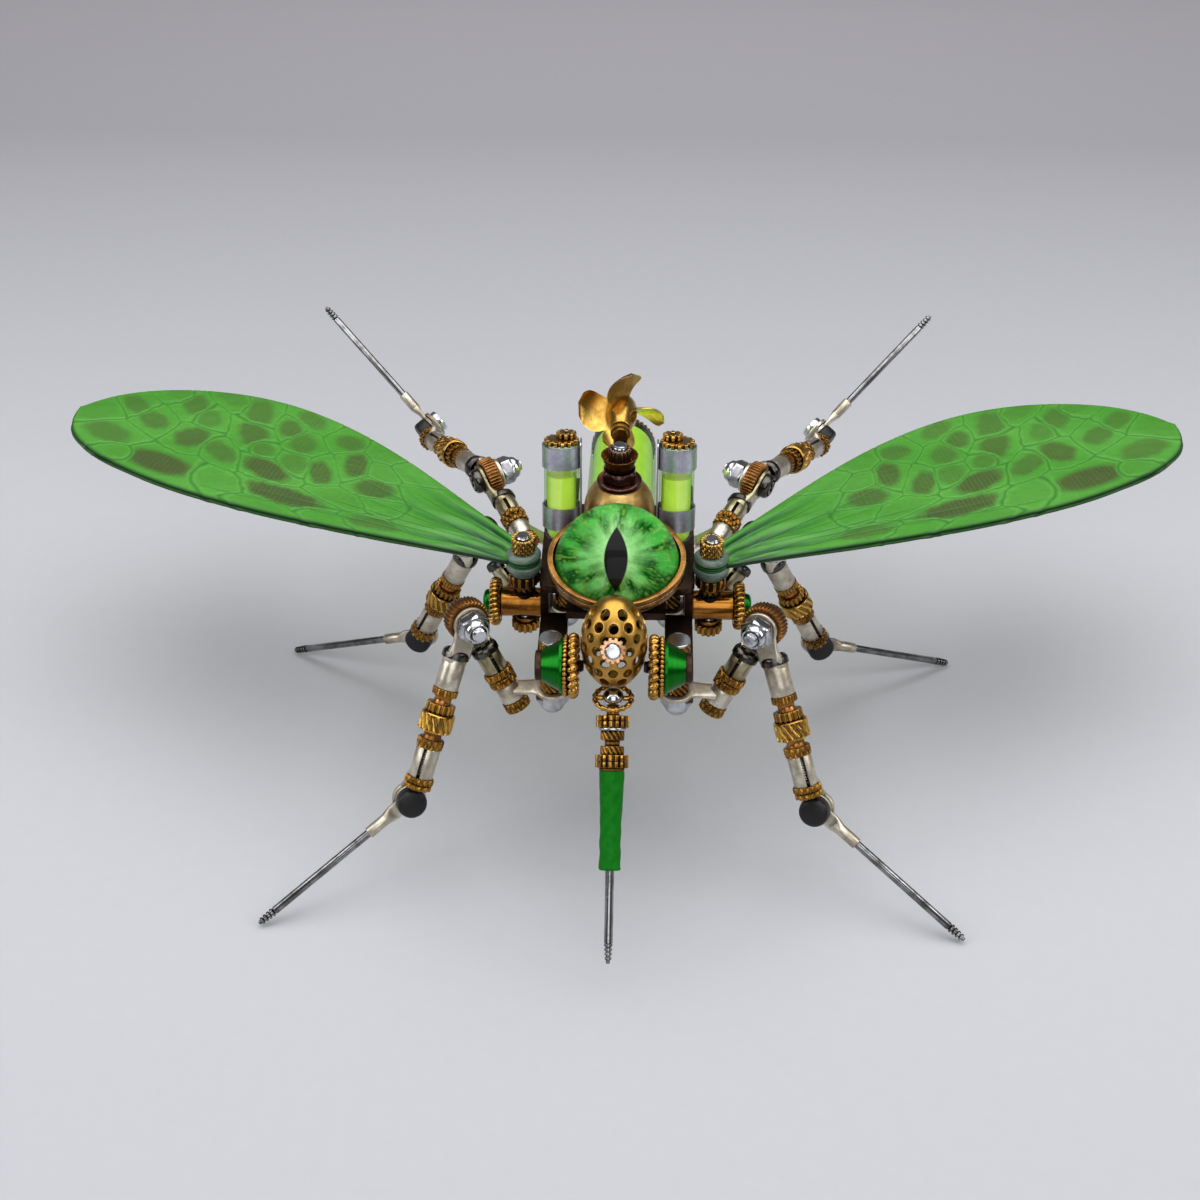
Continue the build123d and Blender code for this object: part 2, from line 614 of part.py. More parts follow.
def head_shell():
    """Perforated brass egg of the head."""
    inner_r = EGG_R - EGG_WALL
    inner_h = EGG_HALF - EGG_WALL
    shell = egg_solid(EGG_R, EGG_HALF) - egg_solid(inner_r, inner_h)
    place = stand(EGG_AT, EGG_AXIS, (0, -1, 0))
    shell = place * shell - head_line() * disc(M3_BORE, -12, 12)
    for row in range(-3, 4):
        count = 8 if abs(row) == 3 else 12
        for k in range(count):
            turn = 360 / count * (k + 0.5 * (row % 2))
            hole = Rot(0, 0, turn) * Pos(4.7, 0, 2.15 * row) * Rot(0, 90, 0) * Cylinder(0.95, 5.5)
            shell -= place * hole
    return [shell]


def head_screw():
    """Screw through the head into the neck block, with its knurled nut in front."""
    place = head_line()
    screw = disc(M3_SHANK, -9.8, 8.0)
    nut = knurl(2.4, -9.3, -6.7, 14, 1.5, 0.35)
    return [place * screw, place * nut]


def compound_eyes():
    """Green cones with dark end rings on both sides of the head."""
    pieces = []
    for side in (-1, 1):
        place = Pos(0, EYE_Y, EYE_Z) * Rot(0, side * 90, 0)
        cone = Cone(5.1, 3.0, 4.0, align=(Align.CENTER, Align.CENTER, Align.MIN))
        pieces.append(place * (Pos(0, 0, 9.2) * cone - disc(1.25, 9, 14)))
        pieces.append(place * disc(2.9, 13.2, 14.4, 1.25))
    return pieces


def eye_rings():
    """Rope ring, thin beaded ring and axle of each compound eye."""
    pieces = []
    for side in (-1, 1):
        place = Pos(0, EYE_Y, EYE_Z) * Rot(0, side * 90, 0)
        pieces.append(place * knurl(6.0, 6.4, 8.4, 24, 1.25, 0.5))
        pieces.append(place * knurl(5.8, 8.4, 9.2, 32, 1.25, 0.35))
        pieces.append(place * disc(1.2, 5.5, 14.0))
    return pieces


def nose_frame():
    """Location of the proboscis root; its Z runs down the proboscis."""
    return stand(NOSE_AT, unit(NOSE_AT, NOSE_TIP), (1, 0, 0))


def nose_socket():
    """Beaded ring under the head with the hinge pin of the proboscis."""
    ring = Torus(3.4, 0.42)
    for k in range(16):
        ring += Rot(0, 0, 22.5 * k + 11.25) * Pos(3.4, 0, 0) * Sphere(0.55)
    ring -= Rot(0, 90, 0) * Cylinder(0.5, 12)
    pin = Rot(0, 90, 0) * Cylinder(0.48, 7.6)
    return [Pos(*NOSE_AT) * ring, Pos(*NOSE_AT) * pin]


def proboscis_collars():
    """Ball and stack of watch gears on the upper proboscis."""
    ball = Sphere(2.0) - Rot(0, 90, 0) * Cylinder(0.6, 6)
    ball -= disc(0.85, 1.2, 4)
    stack = [
        ball,
        disc(1.2, 2.0, 3.2, 0.85),
        knurl(3.1, 3.2, 4.2, 16, 0.85, 0.5),
        knurl(3.1, 4.25, 5.4, 16, 0.85, 0.5),
        disc(2.5, 5.4, 6.0, 0.85),
        knurl(2.2, 6.0, 7.8, 16, 0.85, 0.3),
        disc(1.4, 7.8, 8.8, 0.85),
        knurl(2.2, 8.8, 10.4, 16, 0.85, 0.3),
        knurl(3.1, 10.4, 11.6, 16, 0.85, 0.5),
        knurl(3.1, 11.65, 12.8, 16, 0.85, 0.5),
        disc(2.35, 12.8, 13.4, 0.85),
    ]
    return [nose_frame() * piece for piece in stack]


def proboscis_sleeve():
    """Green shrink sleeve."""
    sleeve = Pos(0, 0, 18.2) * Cone(2.35, 1.95, 9.6) + disc(1.95, 22.9, 29.6)
    sleeve += Pos(0, 0, 30.5) * Cone(1.95, 2.05, 1.8)
    return [nose_frame() * (sleeve - disc(0.85, 12, 33))]


def proboscis_needle():
    """Steel rod of the proboscis with its ringed tip."""
    length = (Vector(*NOSE_TIP) - Vector(*NOSE_AT)).length
    rod = disc(0.8, 2.1, length - 3.7) + Pos(0, 0, length - 1.85) * Cone(0.6, 0.35, 3.7)
    for k in range(4):
        rod += disc(0.8 - 0.06 * k, length - 3.5 + 0.8 * k, length - 3.1 + 0.8 * k)
    return [nose_frame() * rod]


def save(name, pieces):
    """Write one node; several pieces stay separate solids."""
    centred = Pos(0, MIDDLE_SHIFT, 0)
    flat = []
    for piece in pieces:
        flat.extend(centred * solid for solid in piece.solids())
    whole = flat[0] if len(flat) == 1 else Compound(children=flat)
    export_step(whole, "parts/" + name + ".step")


for leg_name, leg_points in (("front", FRONT_LEG), ("middle", MIDDLE_LEG), ("hind", HIND_LEG)):
    for side_name, side_sign in (("left", -1), ("right", 1)):
        label = leg_name + "_" + side_name + "_"
        points = leg_frames(leg_points, side_sign)
        save(label + "femur_lugs", femur_lugs(points))
        save(label + "femur_collars", femur_collars(points))
        save(label + "tibia_lugs", tibia_lugs(points))
        save(label + "tibia_collars", tibia_collars(points))
        save(label + "tarsus", tarsus(points))

save("chassis", chassis())
save("hip_spacers", hip_posts())
save("hip_screws", hip_screws())
save("eye_bezel", eye_bezel())
save("eye_cabochon", eye_cabochon())
save("bell_dome", bell_dome())
save("dome_nuts", dome_nuts())
save("propeller", propeller())
save("propeller_mast", propeller_mast())
save("glass_vials", glass_vials())
save("vial_liquid", vial_liquid())
save("vial_clips", vial_clips())
save("vial_gears", vial_gears())
save("abdomen_glass", abdomen("glass"))
save("abdomen_liquid", abdomen("liquid"))
save("abdomen_caps", abdomen("caps"))
save("cross_tubes", cross_tubes())
save("side_gears", side_gears())
save("wing_posts", wing_posts())
save("wing_grommets", wing_grommets())
save("left_wing", wing(-1))
save("right_wing", wing(1))
save("head_shell", head_shell())
save("head_screw", head_screw())
save("compound_eyes", compound_eyes())
save("eye_rings", eye_rings())
save("nose_socket", nose_socket())
save("proboscis_collars", proboscis_collars())
save("proboscis_sleeve", proboscis_sleeve())
save("proboscis_needle", proboscis_needle())
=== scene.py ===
"""Looks of the mechanical mosquito model kit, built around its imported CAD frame.

Lengths are in millimetres until a mesh is made. Every place is measured from the frame's
own meshes and joints.
"""
import json
from functools import lru_cache
from math import atan2, cos, pi, radians, sin

import bmesh
import bpy
import numpy as np
from mathutils import Matrix, Vector
from mathutils.bvhtree import BVHTree


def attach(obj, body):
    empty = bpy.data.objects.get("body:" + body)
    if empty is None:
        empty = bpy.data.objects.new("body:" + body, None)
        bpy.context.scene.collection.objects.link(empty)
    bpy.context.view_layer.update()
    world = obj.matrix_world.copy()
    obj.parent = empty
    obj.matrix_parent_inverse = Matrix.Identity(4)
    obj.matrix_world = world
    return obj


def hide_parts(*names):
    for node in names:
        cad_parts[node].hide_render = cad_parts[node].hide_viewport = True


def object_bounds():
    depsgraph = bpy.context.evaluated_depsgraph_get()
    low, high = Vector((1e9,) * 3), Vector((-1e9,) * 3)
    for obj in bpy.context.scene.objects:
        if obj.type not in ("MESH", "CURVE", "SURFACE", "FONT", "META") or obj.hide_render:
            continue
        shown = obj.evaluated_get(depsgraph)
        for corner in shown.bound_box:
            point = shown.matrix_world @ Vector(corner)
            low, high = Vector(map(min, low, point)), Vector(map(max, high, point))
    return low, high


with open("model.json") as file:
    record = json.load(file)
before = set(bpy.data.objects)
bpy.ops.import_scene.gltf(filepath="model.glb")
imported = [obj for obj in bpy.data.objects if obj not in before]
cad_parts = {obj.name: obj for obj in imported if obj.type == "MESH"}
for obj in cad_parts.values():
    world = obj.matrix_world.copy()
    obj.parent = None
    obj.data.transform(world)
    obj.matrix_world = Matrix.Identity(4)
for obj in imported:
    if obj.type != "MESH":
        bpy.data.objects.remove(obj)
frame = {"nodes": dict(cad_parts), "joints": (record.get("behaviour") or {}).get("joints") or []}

CAD_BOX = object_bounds()
MM = 0.001
TAU = 2 * pi

# Standard hardware: radii and half thicknesses unless said otherwise.
M3_R = 1.45            # outside of a cut M3 thread
M3_NUT_FLATS = 5.5     # across flats
FLANGE_FLATS = 6.4     # hexagon of the flange nut under the bell, across flats
LUG_EYE_R = 3.3        # eyelet of a crimp lug
LUG_BORE = 1.6
LUG_SHEET = 0.4
BARREL_R = 2.35        # barrel of a crimp lug

WELD_GAP = 2e-6        # metres
SOFT_EDGE = radians(35)

JOINTS = {j["name"]: j for j in frame["joints"]}
rng = np.random.default_rng(7)


# ---------------------------------------------------------------- measuring the frame
def unit(v):
    v = np.asarray(v, float)
    return v / np.linalg.norm(v)


def square_to(v, w):
    """Unit vector nearest to v that is perpendicular to unit vector w."""
    v = np.asarray(v, float)
    return unit(v - w * v.dot(w))


def clamp(x):
    return np.clip(x, 0, 1)


def pivot(name):
    return np.array(JOINTS[name]["pos_m"], float) / MM


def joint_axis(name):
    return unit(JOINTS[name]["axis"])


class Island:
    """One loose solid of a CAD node: welded points and its triangles, in millimetres."""

    def __init__(self, points, faces):
        self.points = points
        self.faces = faces
        self.centre = (points.min(0) + points.max(0)) / 2

    def heights(self):
        return low_high(self.points)

    def half_height(self):
        return np.ptp(self.points[:, 2]) / 2

    def sideways(self):
        """Nearest and farthest distance from the middle plane."""
        return np.sort(np.abs([self.points[:, 0].min(), self.points[:, 0].max()]))

    def along(self, axis, origin=None):
        """(axis point, z0, z1, outer radius, inner radius) about an axis through the middle or origin."""
        axis = unit(axis)
        middle = self.points.mean(0) if origin is None else np.asarray(origin, float)
        rel = self.points - middle
        z = rel @ axis
        r = np.linalg.norm(rel - np.outer(z, axis), axis=1)
        return middle, z.min(), z.max(), r.max(), r.min()


@lru_cache(maxsize=None)
def islands(node):
    """The solids of a CAD node: its faces come solid by solid, and each solid closes on itself."""
    mesh = frame["nodes"][node].data
    co = np.zeros(len(mesh.vertices) * 3, np.float32)
    mesh.vertices.foreach_get("co", co)
    co = co.reshape(-1, 3).astype(float) / MM
    keys, back = np.unique(np.round(co, 3), axis=0, return_inverse=True)
    back = back.ravel()
    mesh.calc_loop_triangles()
    tri = np.zeros(len(mesh.loop_triangles) * 3, np.int32)
    mesh.loop_triangles.foreach_get("vertices", tri)
    tri = back[tri].reshape(-1, 3)
    found = []
    start = 0
    unmatched = set()
    for k, (p, q, r) in enumerate(tri.tolist()):
        if p == q or q == r or p == r:
            continue
        for edge in ((p, q), (q, r), (r, p)):
            pair = edge if edge[0] < edge[1] else edge[::-1]
            unmatched ^= {pair}
        if not unmatched:
            mine = tri[start:k + 1]
            mine = mine[(mine[:, 0] != mine[:, 1]) & (mine[:, 1] != mine[:, 2]) & (mine[:, 0] != mine[:, 2])]
            used, local_faces = np.unique(mine, return_inverse=True)
            found.append(Island(keys[used], local_faces.reshape(-1, 3)))
            start = k + 1
    return found


def low_high(points):
    """Lowest and highest z of a point cloud."""
    return points[:, 2].min(), points[:, 2].max()


def on_side(node, side):
    """Islands of a node left (-1) or right (1) of the middle plane."""
    return [i for i in islands(node) if np.sign(i.centre[0]) == side]


def long_axis(points):
    """Middle, main direction and least direction of a point cloud."""
    middle = points.mean(0)
    _, vectors = np.linalg.eigh(np.cov((points - middle).T))
    return middle, vectors[:, 2], vectors[:, 0]


# ---------------------------------------------------------------- mesh building
class Build:
    """Collects grids and polygons, and turns them into one piece of the visual model."""

    def __init__(self):
        self.points = []
        self.faces = []
        self.colours = []
        self.count = 0

    def add(self, points, faces, material, colours=None):
        points = np.asarray(points, float).reshape(-1, 3)
        self.points.append(points)
        self.faces.append((np.asarray(faces, np.int64) + self.count, material))
        self.colours.append(np.ones((len(points), 3)) if colours is None else colours.reshape(-1, 3))
        self.count += len(points)

    def grid(self, points, material=0, wrap_u=False, wrap_v=False, flip=False, colours=None):
        """Quads over points[u, v]."""
        nu, nv = points.shape[:2]
        u = np.arange(nu if wrap_u else nu - 1)
        v = np.arange(nv if wrap_v else nv - 1)
        uu, vv = np.meshgrid(u, v, indexing="ij")
        u1, v1 = (uu + 1) % nu, (vv + 1) % nv
        quads = np.stack([uu * nv + vv, u1 * nv + vv, u1 * nv + v1, uu * nv + v1], -1).reshape(-1, 4)
        self.add(points, quads[:, ::-1] if flip else quads, material, colours)

    def island(self, island, material=0):
        self.add(island.points, island.faces, material)

    def piece(self, name, body, materials, nodes=(), sharp=38, bevel=0.0, weld=False):
        mesh = bpy.data.meshes.new(name)
        points = np.concatenate(self.points) * MM
        mesh.vertices.add(len(points))
        mesh.vertices.foreach_set("co", points.astype(np.float32).ravel())
        loops = np.concatenate([f.ravel() for f, _ in self.faces])
        totals = np.concatenate([np.full(len(f), f.shape[1]) for f, _ in self.faces])
        kinds = np.concatenate([np.full(len(f), m) for f, m in self.faces])
        mesh.loops.add(len(loops))
        mesh.loops.foreach_set("vertex_index", loops.astype(np.int32))
        mesh.polygons.add(len(totals))
        starts = np.concatenate([[0], np.cumsum(totals)[:-1]])
        mesh.polygons.foreach_set("loop_start", starts.astype(np.int32))
        mesh.polygons.foreach_set("loop_total", totals.astype(np.int32))
        mesh.polygons.foreach_set("material_index", kinds.astype(np.int32))
        mesh.update(calc_edges=True)
        tint = mesh.color_attributes.new("tint", "FLOAT_COLOR", "POINT")
        colours = np.concatenate(self.colours)
        opaque = np.column_stack([colours, np.ones(len(colours))])
        tint.data.foreach_set("color", opaque.astype(np.float32).ravel())
        mesh.validate()
        if weld:
            work = bmesh.new()
            work.from_mesh(mesh)
            bmesh.ops.remove_doubles(work, verts=work.verts, dist=WELD_GAP)
            bmesh.ops.recalc_face_normals(work, faces=work.faces)
            work.to_mesh(mesh)
            work.free()
        mesh.shade_smooth()
        mesh.set_sharp_from_angle(angle=radians(sharp))
        obj = bpy.data.objects.new(name, mesh)
        bpy.context.scene.collection.objects.link(obj)
        for m in materials:
            mesh.materials.append(m)
        if bevel:
            edge = obj.modifiers.new("edge", "BEVEL")
            edge.width = bevel * MM
            edge.segments = 2
            edge.angle_limit = SOFT_EDGE
            edge.use_clamp_overlap = True
            flat = obj.modifiers.new("flat", "WEIGHTED_NORMAL")
            flat.keep_sharp = True
        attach(obj, body)
        if nodes:
            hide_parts(*nodes)
        return obj


def place(origin, axis, toward=(0, 0, 1)):
    """3x4 frame: columns x, y, z and the origin; z along axis and x near toward."""
    z = unit(axis)
    toward = np.asarray(toward, float)
    if abs(unit(toward) @ z) > 0.98:
        toward = np.array([1.0, 0, 0])
    x = square_to(toward, z)
    return np.column_stack([x, np.cross(z, x), z, np.asarray(origin, float)])


def put(where, local):
    """Local points [..., 3] in the row frame."""
    return local @ where[:, :3].T + where[:, 3]


def revolve(where, profile, around=48, cut=None):
    """Points of a surface of revolution; cut(angle, z, r) gives the new radius."""
    profile = np.asarray(profile, float)
    t = np.linspace(0, TAU, around, endpoint=False)
    r = np.repeat(profile[:, :1], around, 1)
    z = np.repeat(profile[:, 1:2], around, 1)
    angle = np.repeat(t[None, :], len(profile), 0)
    if cut is not None:
        r = cut(angle, z, r)
    return put(where, np.stack([r * np.cos(angle), r * np.sin(angle), z], -1))


def turned(build, where, profile, around, material=0, cut=None, colours=None):
    """Surface of revolution whose profile closes on itself, so that it has a bore."""
    points = revolve(where, profile, around, cut)
    build.grid(points, material, wrap_u=True, wrap_v=True, flip=True, colours=colours)


def solid(build, where, profile, around, material=0):
    """Surface of revolution whose profile starts and ends on the axis."""
    build.grid(revolve(where, profile, around), material, wrap_v=True, flip=True)


def ridge(x, top=0.42, slope=0.3):
    """0 on a tooth and 1 in the gap, for a phase that repeats every turn."""
    g = np.abs(((x / TAU) % 1.0) - 0.5) * 2
    return clamp((g - top) / slope)


def straight(teeth):
    return lambda t, z: ridge(teeth * t)


def helical(teeth, lean):
    return lambda t, z: ridge(teeth * (t + z * lean))


def diamond(teeth, lean):
    return lambda t, z: np.maximum(ridge(teeth * (t + z * lean), 0.5), ridge(teeth * (t - z * lean), 0.5))


def toothed(ro, depth, pattern, z0=None, z1=None, inner=0.55):
    """Cut function: teeth in the outer skin, fading out toward the bore on the end faces."""

    def cut(t, z, r):
        share = clamp((r / ro - inner) / (0.86 - inner))
        gone = depth * pattern(t, z) * share
        if z0 is not None:
            gone = gone * clamp((z - z0) / 0.15) * clamp((z1 - z) / 0.15)
        return r - gone

    return cut


def bush(ri, ro, z0, z1, edge=0.15, rows=2, dish=0.0, waist=0.0):
    """Closed profile of a collar with chamfered rims, optional dished ends and waisted middle."""
    zs = np.linspace(z0 + edge, z1 - edge, max(rows, 2))
    mid = (z0 + z1) / 2
    half = max((z1 - z0) / 2, 1e-6)
    outer = [(ro - waist * (1 - ((z - mid) / half) ** 2), z) for z in zs]
    step = ri + (ro - ri) * 0.55
    low = [(ri, z0 + edge * 0.6 + dish), (ri + edge * 0.6, z0 + dish), (step, z0 + dish * 0.6),
           (ro - edge * 1.4, z0)]
    high = [(ro - edge * 1.4, z1), (step, z1 - dish * 0.6), (ri + edge * 0.6, z1 - dish),
            (ri, z1 - edge * 0.6 - dish)]
    return low + [(ro - edge * 0.4, z0 + edge * 0.4)] + outer + [(ro - edge * 0.4, z1 - edge * 0.4)] + high


def collar(build, where, ri, ro, z0, z1, pattern=None, depth=0.3, material=0, around=None, **shape):
    """A turned collar, plain or knurled."""
    rows = shape.pop("rows", 8 if pattern else 2)
    rim = shape.pop("rim", False)
    around = around or (144 if pattern else 40)
    cut = None
    if pattern:
        cut = toothed(ro, depth, pattern, z0 + 0.25 if rim else None, z1 - 0.25 if rim else None)
    profile = bush(ri, ro, z0, z1, rows=rows, **shape)
    turned(build, where, profile, around, material, cut)


def rope(build, where, major, minor, strands, turns, depth=0.45, material=0, flat=1.0, steps=240):
    """Ring laid up like rope: the skin is grooved along slanting strands."""
    u = np.linspace(0, TAU, steps, endpoint=False)[:, None]
    v = np.linspace(0, TAU, 16, endpoint=False)[None, :]
    g = ridge(turns * u + strands * v, 0.35, 0.5)
    r = minor * (1 - depth * g)
    ring = major + r * np.cos(v)
    points = np.stack([ring * np.cos(u), ring * np.sin(u), flat * r * np.sin(v) + 0 * u], -1)
    build.grid(put(where, points), material, wrap_u=True, wrap_v=True, flip=True)


def loft(build, sections, material=0, count=28):
    """Closed tube through (centre, x, y, half width, half height, squareness) sections."""
    t = np.linspace(0, TAU, count, endpoint=False)
    rows = []
    for centre, x, y, a, b, power in sections:
        c, s = np.cos(t), np.sin(t)
        px = a * np.sign(c) * np.abs(c) ** (2 / power)
        py = b * np.sign(s) * np.abs(s) ** (2 / power)
        rows.append(np.asarray(centre) + px[:, None] * x + py[:, None] * y)
    rows = [np.repeat(rows[0].mean(0)[None], count, 0)] + rows + [np.repeat(rows[-1].mean(0)[None], count, 0)]
    build.grid(np.array(rows), material, wrap_v=True, flip=True)


# ---------------------------------------------------------------- materials
class Paint:
    """A node material; add() makes a shader node and links or sets its inputs."""

    def __init__(self, name):
        self.mat = bpy.data.materials.new(name)
        self.mat.use_nodes = True
        self.tree = self.mat.node_tree
        self.skin = self.tree.nodes["Principled BSDF"]
        self.out = self.tree.nodes["Material Output"]
        coords = self.add("TexCoord")
        self.where = coords.outputs["Object"]

    def add(self, kind, **values):
        node = self.tree.nodes.new("ShaderNode" + kind)
        for key, value in values.items():
            if key in node.bl_rna.properties:
                setattr(node, key, value)
            else:
                self.put(node, key.replace("_", " "), value)
        return node

    def put(self, node, key, value):
        socket = node.inputs[int(key[1:])] if key[0] == "i" and key[1:].isdigit() else node.inputs[key]
        if isinstance(value, bpy.types.NodeSocket):
            self.tree.links.new(value, socket)
        elif isinstance(value, tuple) and len(value) == 3 and socket.type == "RGBA":
            socket.default_value = (*value, 1)
        else:
            socket.default_value = value

    def set(self, **values):
        for key, value in values.items():
            self.put(self.skin, key.replace("_", " "), value)

    def noise(self, scale, detail=4.0, rough=0.6, where=None, stretch=None):
        source = where or self.where
        if stretch:
            source = self.add("Mapping", Vector=source, Scale=stretch).outputs[0]
        return self.add("TexNoise", Vector=source, Scale=scale, Detail=detail, Roughness=rough).outputs["Fac"]

    def ramp(self, value, *stops):
        """Colour ramp; each stop is (position, colour or grey)."""
        node = self.add("ValToRGB", Fac=value)
        ramp = node.color_ramp
        while len(ramp.elements) < len(stops):
            ramp.elements.new(0.5)
        for element, (position, colour) in zip(ramp.elements, stops):
            element.position = position
            colour = (colour,) * 3 if isinstance(colour, (int, float)) else colour
            element.color = (*colour, 1)
        return node.outputs["Color"]

    def mix(self, fac, a, b, blend="MIX"):
        node = self.add("Mix", data_type="RGBA", blend_type=blend)
        self.put(node, "i0", fac)
        self.put(node, "i6", a)
        self.put(node, "i7", b)
        return node.outputs[2]

    def math(self, op, a, b=0.0, c=0.0):
        node = self.add("Math", operation=op)
        self.put(node, "i0", a)
        self.put(node, "i1", b)
        self.put(node, "i2", c)
        return node.outputs[0]

    def bump(self, height, strength=0.3, distance=0.05):
        node = self.add("Bump", Height=height, Strength=strength, Distance=distance * MM)
        self.put(self.skin, "Normal", node.outputs[0])

    def cavity(self, distance=0.8, low=0.35, high=0.85):
        """1 on open skin and 0 deep in a groove."""
        node = self.add("AmbientOcclusion", samples=6, Distance=distance * MM)
        return self.ramp(node.outputs["AO"], (low, 0.0), (high, 1.0))

    def edges(self, radius=0.12):
        """1 along sharp outer edges: a painted edge highlight, partly also real rubbing of worn rims."""
        soft = self.add("Bevel", samples=4, Radius=radius * MM)
        true = self.add("NewGeometry")
        dot = self.add("VectorMath", operation="DOT_PRODUCT")
        self.put(dot, "i0", soft.outputs[0])
        self.put(dot, "i1", true.outputs["Normal"])
        return self.ramp(dot.outputs["Value"], (0.86, 1.0), (0.985, 0.0))


def blend(colour, other, share):
    """Vertex colours [..., 3] moved toward another colour by a share per point."""
    return colour + (other - colour) * share[..., None]


def srgb(r, g, b):
    """Linear colour from 0-255 display values."""
    return tuple((c / 255 / 12.92) if c <= 10 else ((c / 255 + 0.055) / 1.055) ** 2.4 for c in (r, g, b))


def metal(name, base, dull, pit, rough=(0.22, 0.42), cavity=(0.8, 0.35, 0.85), grain=900.0, patches=160.0,
          cover=(0.42, 0.62), bump=0.15, rims=None, stretch=None):
    """Metal with tarnish patches, dark recesses, fine grain and optional bright rims, which are a painted
    edge highlight that partly also stands for worn edges.

    base, dull, pit and rims are 0-255 display colours; the pairs are the two ends of a ramp.
    """
    p = Paint(name)
    base, dull, pit = srgb(*base), srgb(*dull), srgb(*pit)
    patch = p.ramp(p.noise(patches, 5, 0.65), (cover[0], 0.0), (cover[1], 1.0))
    colour = p.mix(patch, base, dull)
    fine = p.noise(grain, 3, 0.7, stretch=stretch)
    colour = p.mix(0.35, colour, p.ramp(fine, (0.3, 0.55), (0.7, 1.25)), "MULTIPLY")
    if rims:
        # Bright rims: painted edge highlight along sharp edges, partly worn metal.
        colour = p.mix(p.edges(), colour, srgb(*rims))
    open_skin = p.cavity(*cavity)
    colour = p.mix(open_skin, pit, colour)
    roughness = p.mix(patch, (rough[0],) * 3, (rough[1],) * 3)
    roughness = p.mix(open_skin, (0.7,) * 3, roughness)
    p.set(Base_Color=colour, Metallic=1.0, Roughness=roughness)
    p.bump(fine, bump, 0.04)
    return p.mat


LUG = metal("lug_steel", (212, 204, 186), (156, 142, 124), (60, 50, 40), (0.34, 0.5), (0.9, 0.2, 0.75),
            1100, 140, (0.45, 0.66), 0.2)
SPLIT_LUG = metal("lug_brass_wash", (190, 182, 150), (120, 108, 70), (40, 34, 22), (0.3, 0.45),
                  (0.9, 0.25, 0.8), 1100, 120, (0.4, 0.6), 0.2)
CHROME = metal("bright_screw", (200, 202, 206), (120, 120, 126), (12, 11, 12), (0.12, 0.25),
               (0.7, 0.35, 0.8), 700, 300, (0.5, 0.7), 0.05)
DARK_SCREW = metal("dark_screw", (92, 88, 84), (40, 38, 36), (8, 7, 7), (0.2, 0.38), (0.8, 0.35, 0.8),
                   700, 300, (0.45, 0.7), 0.08)
KNURLED = metal("aged_brass", (176, 126, 52), (96, 62, 26), (26, 18, 10), (0.24, 0.4), (0.6, 0.5, 0.98),
                900, 220, (0.45, 0.65), 0.15, rims=(232, 190, 104))
POLISHED = metal("polished_brass", (206, 160, 72), (150, 102, 44), (36, 24, 10), (0.14, 0.28),
                 (0.7, 0.35, 0.9), 800, 200, (0.5, 0.7), 0.08, rims=(250, 222, 150))
COPPER = metal("copper_wheel", (168, 114, 60), (104, 66, 32), (34, 18, 10), (0.22, 0.38),
               (0.6, 0.4, 0.95), 900, 220, (0.45, 0.65), 0.12, rims=(230, 172, 112))
TUBE_BRASS = metal("tube_brass", (168, 112, 46), (110, 68, 26), (30, 18, 8), (0.2, 0.32),
                   (0.9, 0.3, 0.85), 700, 120, (0.45, 0.65), 0.1, stretch=(0.15, 1, 1))
ROPE_GOLD = metal("rope_brass", (198, 150, 70), (120, 82, 34), (10, 8, 6), (0.18, 0.34),
                  (0.5, 0.55, 0.98), 800, 220, (0.45, 0.68), 0.1)
EGG_BRASS = metal("egg_brass", (190, 146, 66), (150, 110, 46), (24, 15, 6), (0.3, 0.42),
                  (1.3, 0.15, 0.7), 1000, 120, (0.45, 0.7), 0.18, rims=(226, 190, 120))
BELL = metal("bronze_sand", (216, 180, 112), (160, 120, 62), (60, 38, 18), (0.4, 0.55),
             (1.2, 0.2, 0.8), 700, 260, (0.4, 0.66), 0.5)
BRONZE = metal("bronze", (150, 106, 50), (96, 62, 28), (24, 14, 8), (0.22, 0.4), (0.8, 0.3, 0.85),
               800, 180, (0.45, 0.65), 0.12, rims=(240, 205, 150))
PROP_GOLD = metal("propeller_gold", (206, 168, 84), (150, 104, 38), (40, 24, 8), (0.22, 0.36),
                  (0.9, 0.25, 0.8), 800, 160, (0.45, 0.7), 0.15, rims=(240, 205, 130))
FRAME = metal("dark_frame", (70, 52, 42), (38, 28, 22), (10, 8, 7), (0.32, 0.5), (1.2, 0.3, 0.85),
              900, 160, (0.42, 0.64), 0.2)
ROSY = metal("rosy_brass", (206, 164, 124), (160, 116, 78), (40, 24, 14), (0.22, 0.36),
             (0.5, 0.45, 0.95), 900, 220, (0.45, 0.65), 0.1, rims=(240, 212, 178))
ROSY_DARK = metal("rosy_bronze", (150, 112, 84), (92, 60, 40), (18, 10, 8), (0.2, 0.36),
                  (0.5, 0.45, 0.95), 900, 220, (0.45, 0.65), 0.1, rims=(232, 196, 176))
FLANGE = metal("oxidised_flange", (122, 84, 76), (62, 40, 36), (8, 6, 6), (0.18, 0.34),
               (0.8, 0.35, 0.85), 700, 300, (0.45, 0.7), 0.08, rims=(214, 160, 160))
ROD = metal("spring_bar_steel", (150, 150, 152), (84, 82, 80), (16, 16, 16), (0.14, 0.28),
            (0.7, 0.35, 0.85), 700, 220, (0.45, 0.65), 0.06)
CLIP = metal("spring_steel", (204, 204, 216), (160, 160, 174), (50, 48, 52), (0.34, 0.5),
             (0.9, 0.25, 0.8), 1100, 200, (0.42, 0.66), 0.2, rims=(226, 226, 232))
ACORN = metal("acorn_zinc", (196, 198, 200), (140, 140, 142), (50, 50, 52), (0.16, 0.3),
              (0.8, 0.3, 0.8), 800, 240, (0.45, 0.7), 0.08)


